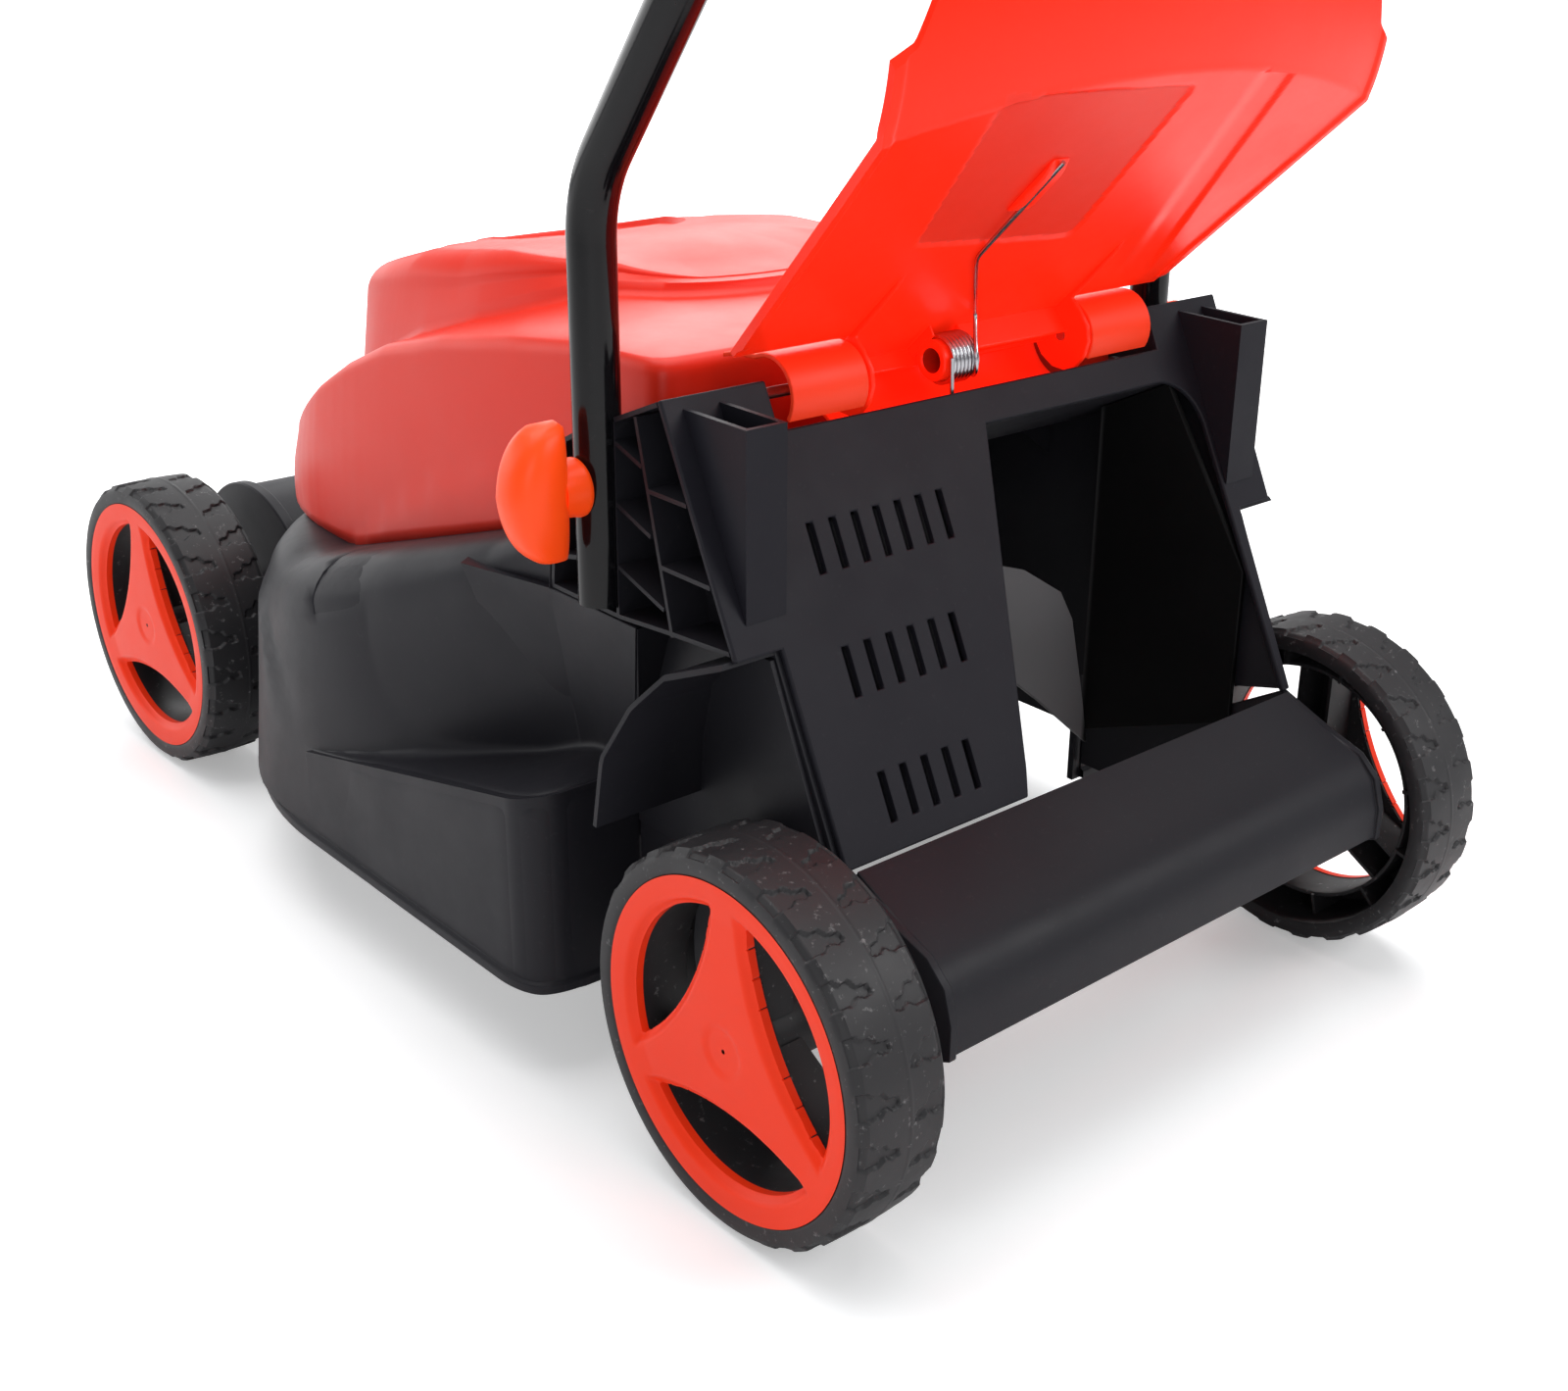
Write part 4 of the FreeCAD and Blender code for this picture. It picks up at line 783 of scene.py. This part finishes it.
def hinge_arc(radius, first, turn, steps):
    """Points of an arc about the flap's hinge, from an angle through a turn, both in degrees."""
    angles = [math.radians(first + turn * k / steps) for k in range(steps + 1)]
    return [(HINGE[0] + radius * math.cos(a), HINGE[1] + radius * math.sin(a)) for a in angles]


def hinge_sheets():
    """Curved sheets over the hinge pins, and the round trough under the flap's root."""
    outer = [(117, 329.6), (106, 332.6), (98, 332.8)] + hinge_arc(16.8, 62, 152, 14)
    inner = [(117, 327.6), (106, 330.4), (97, 330.6)] + hinge_arc(14.8, 62, 152, 14)
    for side, x0 in (("left", -112.0), ("right", 70.4)):
        sheet = extruded("vis_hinge_cover_" + side, outer + inner[::-1], x0, x0 + 41.6, HINGE_SHEET,
                         "chassis", 0.5)
        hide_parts("hinge_covers")
    trough = hinge_arc(23.2, 5, -120, 12) + hinge_arc(21.6, 5, -120, 12)[::-1]
    # The trough uses the flap plastic, whose painted glow makes it bright orange in the shade below the flap's
    # root.
    extruded("vis_hinge_trough", trough, -70, 70, FLAP, "chassis", FINE_BEVEL)


flap_fittings()
hinge_sheets()


def wire(name, points, radius, body, look, stands_for):
    """Round wire along a smooth curve that follows the points."""
    curve = bpy.data.curves.new(name, "CURVE")
    curve.dimensions = "3D"
    spline = curve.splines.new("NURBS")
    spline.points.add(len(points) - 1)
    for point, place in zip(spline.points, metres(points)):
        point.co = (*place, 1.0)
    spline.order_u = 3
    spline.use_endpoint_u = True
    curve.bevel_depth = radius / 1000
    curve.bevel_resolution = 4
    curve.resolution_u = 6
    curve.use_fill_caps = True
    shape = bpy.data.objects.new(name, curve)
    bpy.context.scene.collection.objects.link(shape)
    mesh = bpy.data.meshes.new_from_object(shape)
    mesh.name = name
    bpy.data.objects.remove(shape)
    mesh.polygons.foreach_set("use_smooth", [True] * len(mesh.polygons))
    ride_mesh(name, mesh, look, body, stands_for)


SPRING_WIRE_R = 1.05
COIL_R = 10.7
COIL_TURNS = 6
COIL_PITCH = 2.35
COIL_X = 0.5


def spring():
    """Coil round the boss, a leg up the flap and a foot down inside the rear panel."""
    start = math.pi + FLAP_OPEN
    coil = []
    for k in range(COIL_TURNS * 16 + 11):
        a = start - 2 * math.pi * k / 16
        y, z = HINGE[0] + COIL_R * math.cos(a), HINGE[1] + COIL_R * math.sin(a)
        coil.append((COIL_X - COIL_PITCH * k / 16, y, z))
    up_y, up_z = -math.sin(FLAP_OPEN), math.cos(FLAP_OPEN)
    off_y, off_z = math.cos(FLAP_OPEN), math.sin(FLAP_OPEN)

    def leg(x, along, off):
        return (x, HINGE[0] + up_y * along + off_y * off, HINGE[1] + up_z * along + off_z * off)

    # Down the plate, over the rear panel's edge when the flap is shut, and round to the coil's near side.
    upper = [leg(-34.5, 130, 10.6), leg(-34, 102, 10.6), leg(-33.6, 71, 10.6), leg(-33.1, 67, 10.7),
             leg(-31.2, 63, 10.8), leg(-17.6, 45, 11), leg(-6.2, 30, 11), leg(-0.1, 22, 11),
             leg(3.9, 16.5, 10.8), leg(3.3, 14.5, 7.5), leg(0.5, 13.4, 2), leg(-3.0, 12, -6),
             leg(-2.6, 7, -11.5), leg(0.4, 1.5, -11.6)]
    wire("vis_spring_coil", upper + coil, SPRING_WIRE_R, "flap", SPRING, ["flap_spring"])
    x_end = coil[-1][0] - 0.8
    rear = HINGE[0] - COIL_R
    lower = [(x_end, rear, HINGE[1] + 3), (x_end, rear - 0.2, HINGE[1] - 4),
             (x_end - 0.5, rear - 1.5, HINGE[1] - 18)]
    wire("vis_spring_foot", lower, SPRING_WIRE_R, "chassis", SPRING, ["flap_spring"])


spring()


# ---- wing knobs ------------------------------------------------------------------
KNOB_HALF = 29.5
LOWER_KNOB = (123.0, 283.0)
# The upper knobs are where the tubes' straight part, leaning back from its bend, meets the upper handle.
LEAN = math.radians(37.5)
UPPER_KNOB = (123 - 312 * math.sin(LEAN), 401 + 312 * math.cos(LEAN))


def wing_knob(node, face_x, y0, z0, sign, body):
    """Rounded wing on a collar; drawn outwards from the collar's face."""
    rows, ring = 25, 32
    points = []
    for i in range(rows):
        t = -1 + 2 * i / (rows - 1)
        t = math.copysign(abs(t) ** 0.85, t)
        z = KNOB_HALF * t
        full = math.sqrt(max(0.0, 1 - abs(t) ** 2.6))
        reach = 10 + 17.5 * full - 3.5 * abs(t)
        thick = 3.2 + 9.3 * full
        middle = 12 + reach / 2 - 4
        for k in range(ring):
            a = 2 * math.pi * k / ring
            ca, sa = math.cos(a), math.sin(a)
            px = middle + math.copysign(abs(ca) ** 0.75, ca) * reach / 2
            py = math.copysign(abs(sa) ** 0.8, sa) * thick
            shrink = 0.25 if i in (0, rows - 1) else 1.0
            points.append((middle + (px - middle) * shrink, py * shrink, z))
    faces = grid_faces(rows, ring, close_cols=True)
    faces.append(tuple(range(ring))[::-1])
    faces.append(tuple(range((rows - 1) * ring, rows * ring)))
    collar = lathe([(0, 3.3), (0, 11.6), (0.7, 12.3), (2.2, 12.4), (4.0, 11.8), (12, 11.2)], 48)
    body_mesh = join((points, faces), collar)
    placed = [(sign * (face_x + x), y0 + y, z0 + z) for x, y, z in body_mesh[0]]
    flipped = body_mesh[1] if sign > 0 else [face[::-1] for face in body_mesh[1]]
    new_piece("vis_" + node, placed, flipped, KNOB, body, [node], 60.0)


for side, sign in (("left", -1), ("right", 1)):
    wing_knob("lower_knob_" + side, 182.3, *LOWER_KNOB, sign, "lower_knob_" + side + "_turning")
    wing_knob("upper_knob_" + side, 203.8, *UPPER_KNOB, sign, "upper_knob_" + side + "_turning")


# ---- deck skin --------------------------------------------------------------------
DECK_MID = 335.0                # y of the round part's middle
SKIN_GAP = 0.6                  # the skin stands off the round wall by this much
LOW_TOP_Z = 225.6               # top of the wall beside the tunnel
# Outer edge, wall foot and wall top in plan, from the rear corner forward to the round part.
STATIONS = [((-151.9, 129.2), (-151.7, 131), (-172.0, 100)), ((-170, 129.2), (-151.7, 140), (-172.0, 118)),
            ((-188, 129.2), (-151.7, 150), (-172.0, 135)), ((-204.2, 134.2), (-151.8, 160), (-172.1, 150)),
            ((-208.6, 150), (-152.5, 170), (-172.3, 161)), ((-208.6, 165), (-154.0, 179), (-174.0, 171)),
            ((-208.6, 185), (-156.8, 190), (-176.4, 185)), ((-208.6, 215), (-166, 216), (-184.5, 215)),
            ((-208.6, 250), (-183, 250), (-187.5, 250)), ((-208.6, 275), (-193.5, 277), (-189.9, 277)),
            ((-207.5, 300), (-200.4, 303), (-190.8, 303)), ((-204.7, 335), (-203.9, 335), (-191.0, 335))]


def rounded_column(corners, radii, wall_steps):
    """Points down a polyline whose corners are rounded, the same number for every column."""
    points = [np.array(corners[0], float)]
    count = len(corners)
    previous = points[0]
    for i in range(1, count - 1):
        here = np.array(corners[i], float)
        before = np.array(corners[i - 1], float)
        after = np.array(corners[i + 1], float)
        back = np.linalg.norm(here - before)
        ahead = np.linalg.norm(after - here)
        cut = min(radii[i], back * 0.49, ahead * 0.49)
        enter = here + (before - here) * cut / max(back, 1e-6)
        leave = here + (after - here) * cut / max(ahead, 1e-6)
        for k in range(1, wall_steps[i - 1] + 1):
            points.append(previous + (enter - previous) * k / wall_steps[i - 1])
        for k in range(1, 7):
            t = k / 6
            points.append((1 - t) ** 2 * enter + 2 * t * (1 - t) * here + t * t * leave)
        previous = leave
    last = np.array(corners[-1], float)
    for k in range(1, wall_steps[-1] + 1):
        points.append(previous + (last - previous) * k / wall_steps[-1])
    return points


def cone_radius(z):
    """Radius of the round wall, which narrows upwards from the rim."""
    return 208.0 - 18.0 * (z - 46.0) / 216.0


def deck_columns():
    """Outer edge, wall foot and wall top at many stations round the left half of the deck."""
    table = np.array(STATIONS)
    place = np.arange(len(table))
    fine = np.linspace(0, len(table) - 1, (len(table) - 1) * 10 + 1)
    smooth = np.zeros((len(fine), 3, 2))
    for j in range(3):
        for k in range(2):
            line = np.interp(fine, place, table[:, j, k])
            padded = np.concatenate([2 * line[0] - line[8:0:-1], line, 2 * line[-1] - line[-2:-10:-1]])
            smooth[:, j, k] = np.convolve(padded, np.hanning(19)[1:-1] / np.hanning(19).sum(), "valid")
    rows = [tuple(map(tuple, item)) for item in smooth[:-1]]
    for degrees in np.arange(0, 90.1, 3.0):
        a = math.radians(degrees)
        spot = (-math.cos(a), math.sin(a))
        top = float(through(DECK_TOP, DECK_MID + 190 * spot[1]))
        radii = (204.4, 204.1, cone_radius(top) + SKIN_GAP)
        rows.append(tuple((r * spot[0], DECK_MID + r * spot[1]) for r in radii))
    return rows


def deck_column(outer, foot, top):
    """One column of the skin: rim bead, side, ledge, wall, shoulder and a strip of the deck's top."""
    ledge = 145.0 - 0.24 * (min(max(outer[1], 130.0), DECK_MID) - 130.0) + 0.3
    width = math.dist(outer, foot)
    middle = np.array((0.0, min(outer[1], DECK_MID)))
    away = np.array(outer) - middle
    away = away / np.linalg.norm(away)
    if outer[1] < 140:
        away = np.array((0.0, -1.0)) if outer[0] > -186 else np.array((-0.7, -0.7))
    rim_in = np.array(outer)
    if outer[1] > 275:
        rim_in = middle + (np.array(outer) - middle) * 208.5 / np.linalg.norm(np.array(outer) - middle)
    bead = rim_in + away * 2.2
    inward = np.array((0.0, min(top[1], DECK_MID))) - np.array(top)
    inward = inward / np.linalg.norm(inward)
    low_top = top[1] < 162
    rise = LOW_TOP_Z if low_top else float(through(DECK_TOP, top[1])) + 0.5
    run = 22.0 if low_top else 58.0
    end = np.array(top) + inward * run
    end_z = LOW_TOP_Z if low_top else float(through(DECK_TOP, end[1])) + 0.5
    shoulder = 0.8 if low_top else 16.0 + 16.0 * float(ease((top[1] - 165) / 60))
    crease = 5.0 + 9.0 * float(ease((outer[1] - 180) / 120))
    corners = [(*(rim_in - away * 3.5), 46.4), (*bead, 46.4), (*bead, 50.8), (*rim_in, 52.0), (*outer, ledge),
               (*foot, ledge + 0.4), (*top, rise), (*end, end_z)]
    radii = [0, 0.6, 0.6, 0.4, min(9.0, width * 0.6 + 2), crease, shoulder, 0]
    return rounded_column(corners, radii, [1, 1, 1, 4, 2, 12, 3])


def deck_skin():
    """Smooth skin over the deck's side, ledge and shoulder, mirrored from its left half."""
    columns = []
    for outer, foot, top in deck_columns():
        column = np.array(deck_column(outer, foot, top))
        away = np.hypot(column[:, 0], column[:, 1] - DECK_MID)
        shallow = column[:, 2] < through(DECK_TOP, column[:, 1]) - 22
        need = cone_radius(column[:, 2]) + SKIN_GAP
        push = np.where(shallow & (away < need) & (column[:, 2] > 53), need / np.maximum(away, 1), 1.0)
        lip = 95 + 55 * ease((column[:, 1] - 345) / 80)
        flare = 4.0 * ease((column[:, 1] - 345) / 60) * ease((480 - column[:, 1]) / 40)
        flare = flare * ease((lip - column[:, 2]) / 12 + 0.5) * (column[:, 2] > 52)
        push = push * (1 + flare / 204)
        column[:, 0] = column[:, 0] * push
        column[:, 1] = DECK_MID + (column[:, 1] - DECK_MID) * push
        columns.append(column)
    left = np.array(columns)
    rows = left.shape[1]
    points = left.reshape(-1, 3)
    other = points * np.array([-1, 1, 1])
    faces = grid_faces(len(left), rows)
    flipped = grid_faces(len(left), rows, len(points), flip=True)
    new_piece("vis_deck_skin", np.concatenate([points, other]).tolist(), faces + flipped, DECK, "chassis",
              (), 40.0)


deck_skin()


def panel_liner():
    """Dark wall close in front of the slotted part of the rear panel."""
    outline = [(3.0, 147.5), (62.0, 268), (64.0, 268), (5.0, 147.5)]
    extruded("vis_panel_liner", outline, -132, -46, PANEL, "chassis", FINE_BEVEL)


def inner_walls():
    """Dark walls beside the tunnel, between the axle cover's ends and the deck's skirt."""
    outline = [(22, 152), (128.5, 152), (128.5, 56), (66, 56), (41, 84), (41, 122)]
    for side, x0 in (("left", -151.4), ("right", 150.2)):
        extruded("vis_inner_wall_" + side, outline, x0, x0 + 1.2, DECK, "chassis", FINE_BEVEL)


panel_liner()
inner_walls()


# ---- floor, light and camera -----------------------------------------------------
def floor():
    """Pale paper with a painted glow seen only by the camera, weaker near the mower and stronger away from it,
    so it fades to plain white.
    """
    mesh = bpy.data.meshes.new("Floor")
    half = 30
    corners = [(-half, -half, 0), (half, -half, 0), (half, half, 0), (-half, half, 0)]
    mesh.from_pydata(corners, [], [(0, 1, 2, 3)])
    piece = bpy.data.objects.new("Floor", mesh)
    bpy.context.scene.collection.objects.link(piece)
    mat = bpy.data.materials.new("FloorPaper")
    mat.use_nodes = True
    shader = mat.node_tree.nodes["Principled BSDF"]
    add = node_maker(mat)
    where = add("ShaderNodeTexCoord").outputs["Object"]
    cloud = add("ShaderNodeTexNoise", {"Vector": where, "Scale": 3.0, "Detail": 4.0})
    tint = add("ShaderNodeMix", {"Factor": cloud.outputs["Fac"], "A": rgb((0.92, 0.92, 0.925)),
                                 "B": rgb((0.90, 0.90, 0.905))}, data_type="RGBA")
    mat.node_tree.links.new(tint.outputs["Result"], shader.inputs["Base Color"])
    shader.inputs["Roughness"].default_value = 0.7
    shader.inputs["Specular IOR Level"].default_value = 0.2
    # Painted light: the paper glows for camera rays only, less near the mower and more away from it.
    seen = add("ShaderNodeLightPath").outputs["Is Camera Ray"]
    away = add("ShaderNodeVectorMath", {0: where}, operation="LENGTH")
    painted_floor_glow = add("ShaderNodeMapRange", {"Value": away.outputs["Value"], "From Min": 0.7, "From Max": 2.2,
                                     "To Min": 0.32, "To Max": 1.1})
    lift = add("ShaderNodeMath", {0: seen, 1: painted_floor_glow.outputs["Result"]}, operation="MULTIPLY")
    shader.inputs["Emission Color"].default_value = (1, 1, 1, 1)
    mat.node_tree.links.new(lift.outputs["Value"], shader.inputs["Emission Strength"])
    mesh.materials.append(mat)


def softbox(name, place, target, width, height, power):
    data = bpy.data.lights.new(name, "AREA")
    data.shape = "RECTANGLE"
    data.size = width
    data.size_y = height
    data.energy = power
    lamp = bpy.data.objects.new(name, data)
    lamp.location = place
    aim = Vector(target) - Vector(place)
    lamp.rotation_euler = aim.to_track_quat("-Z", "Y").to_euler()
    bpy.context.scene.collection.objects.link(lamp)


def studio():
    world = bpy.data.worlds.new("Studio")
    bpy.context.scene.world = world
    world.use_nodes = True
    nodes, links = world.node_tree.nodes, world.node_tree.links
    paths = nodes.new("ShaderNodeLightPath")
    seen = nodes.new("ShaderNodeBackground")
    seen.inputs["Color"].default_value = (1, 1, 1, 1)
    seen.inputs["Strength"].default_value = 1.05
    fill = nodes["Background"]
    fill.inputs["Color"].default_value = (0.96, 0.97, 1.0, 1)
    fill.inputs["Strength"].default_value = 0.30
    mix = nodes.new("ShaderNodeMixShader")
    links.new(paths.outputs["Is Camera Ray"], mix.inputs["Fac"])
    links.new(fill.outputs["Background"], mix.inputs[1])
    links.new(seen.outputs["Background"], mix.inputs[2])
    links.new(mix.outputs["Shader"], nodes["World Output"].inputs["Surface"])
    softbox("Overhead", (0.2, 0.3, 2.6), (0, 0, 0.1), 3.2, 2.6, 72)
    softbox("KeyRight", (1.6, -2.4, 2.0), (0.1, 0, 0.3), 1.6, 1.6, 40)
    softbox("Fill", (-1.5, -1.7, 0.9), (0, 0, 0.2), 1.2, 1.0, 7)
    softbox("Backdrop", (-0.8, 3.4, 0.8), (0, 0, 0.25), 4.5, 1.3, 30)
    softbox("BackLeft", (-2.2, 2.0, 1.6), (-0.1, 0.1, 0.2), 1.4, 1.8, 7)
    softbox("BackRight", (1.8, 2.4, 1.5), (0.1, 0, 0.35), 1.6, 1.6, 25)


def camera():
    azimuth, elevation, roll = math.radians(-44.454), math.radians(22.47), math.radians(1.993)
    back = Vector((math.sin(azimuth) * math.cos(elevation), -math.cos(azimuth) * math.cos(elevation),
                   math.sin(elevation)))
    right = Vector((math.cos(azimuth), math.sin(azimuth), 0))
    up = back.cross(right)
    turned_right = math.cos(roll) * right + math.sin(roll) * up
    turned_up = -math.sin(roll) * right + math.cos(roll) * up
    data = bpy.data.cameras.new("Camera")
    data.sensor_width = 36
    data.lens = 45.199
    data.shift_x = -0.0845
    data.shift_y = -0.0196
    data.clip_start = 0.02
    data.clip_end = 100
    view = bpy.data.objects.new("Camera", data)
    place = metres([(-617.54, -520.41, 526.0)])[0]
    view.matrix_world = Matrix((
        (turned_right.x, turned_up.x, back.x, place[0]),
        (turned_right.y, turned_up.y, back.y, place[1]),
        (turned_right.z, turned_up.z, back.z, place[2]),
        (0, 0, 0, 1)))
    bpy.context.scene.collection.objects.link(view)
    bpy.context.scene.camera = view


floor()
studio()
camera()
bpy.context.scene.view_settings.view_transform = "Standard"
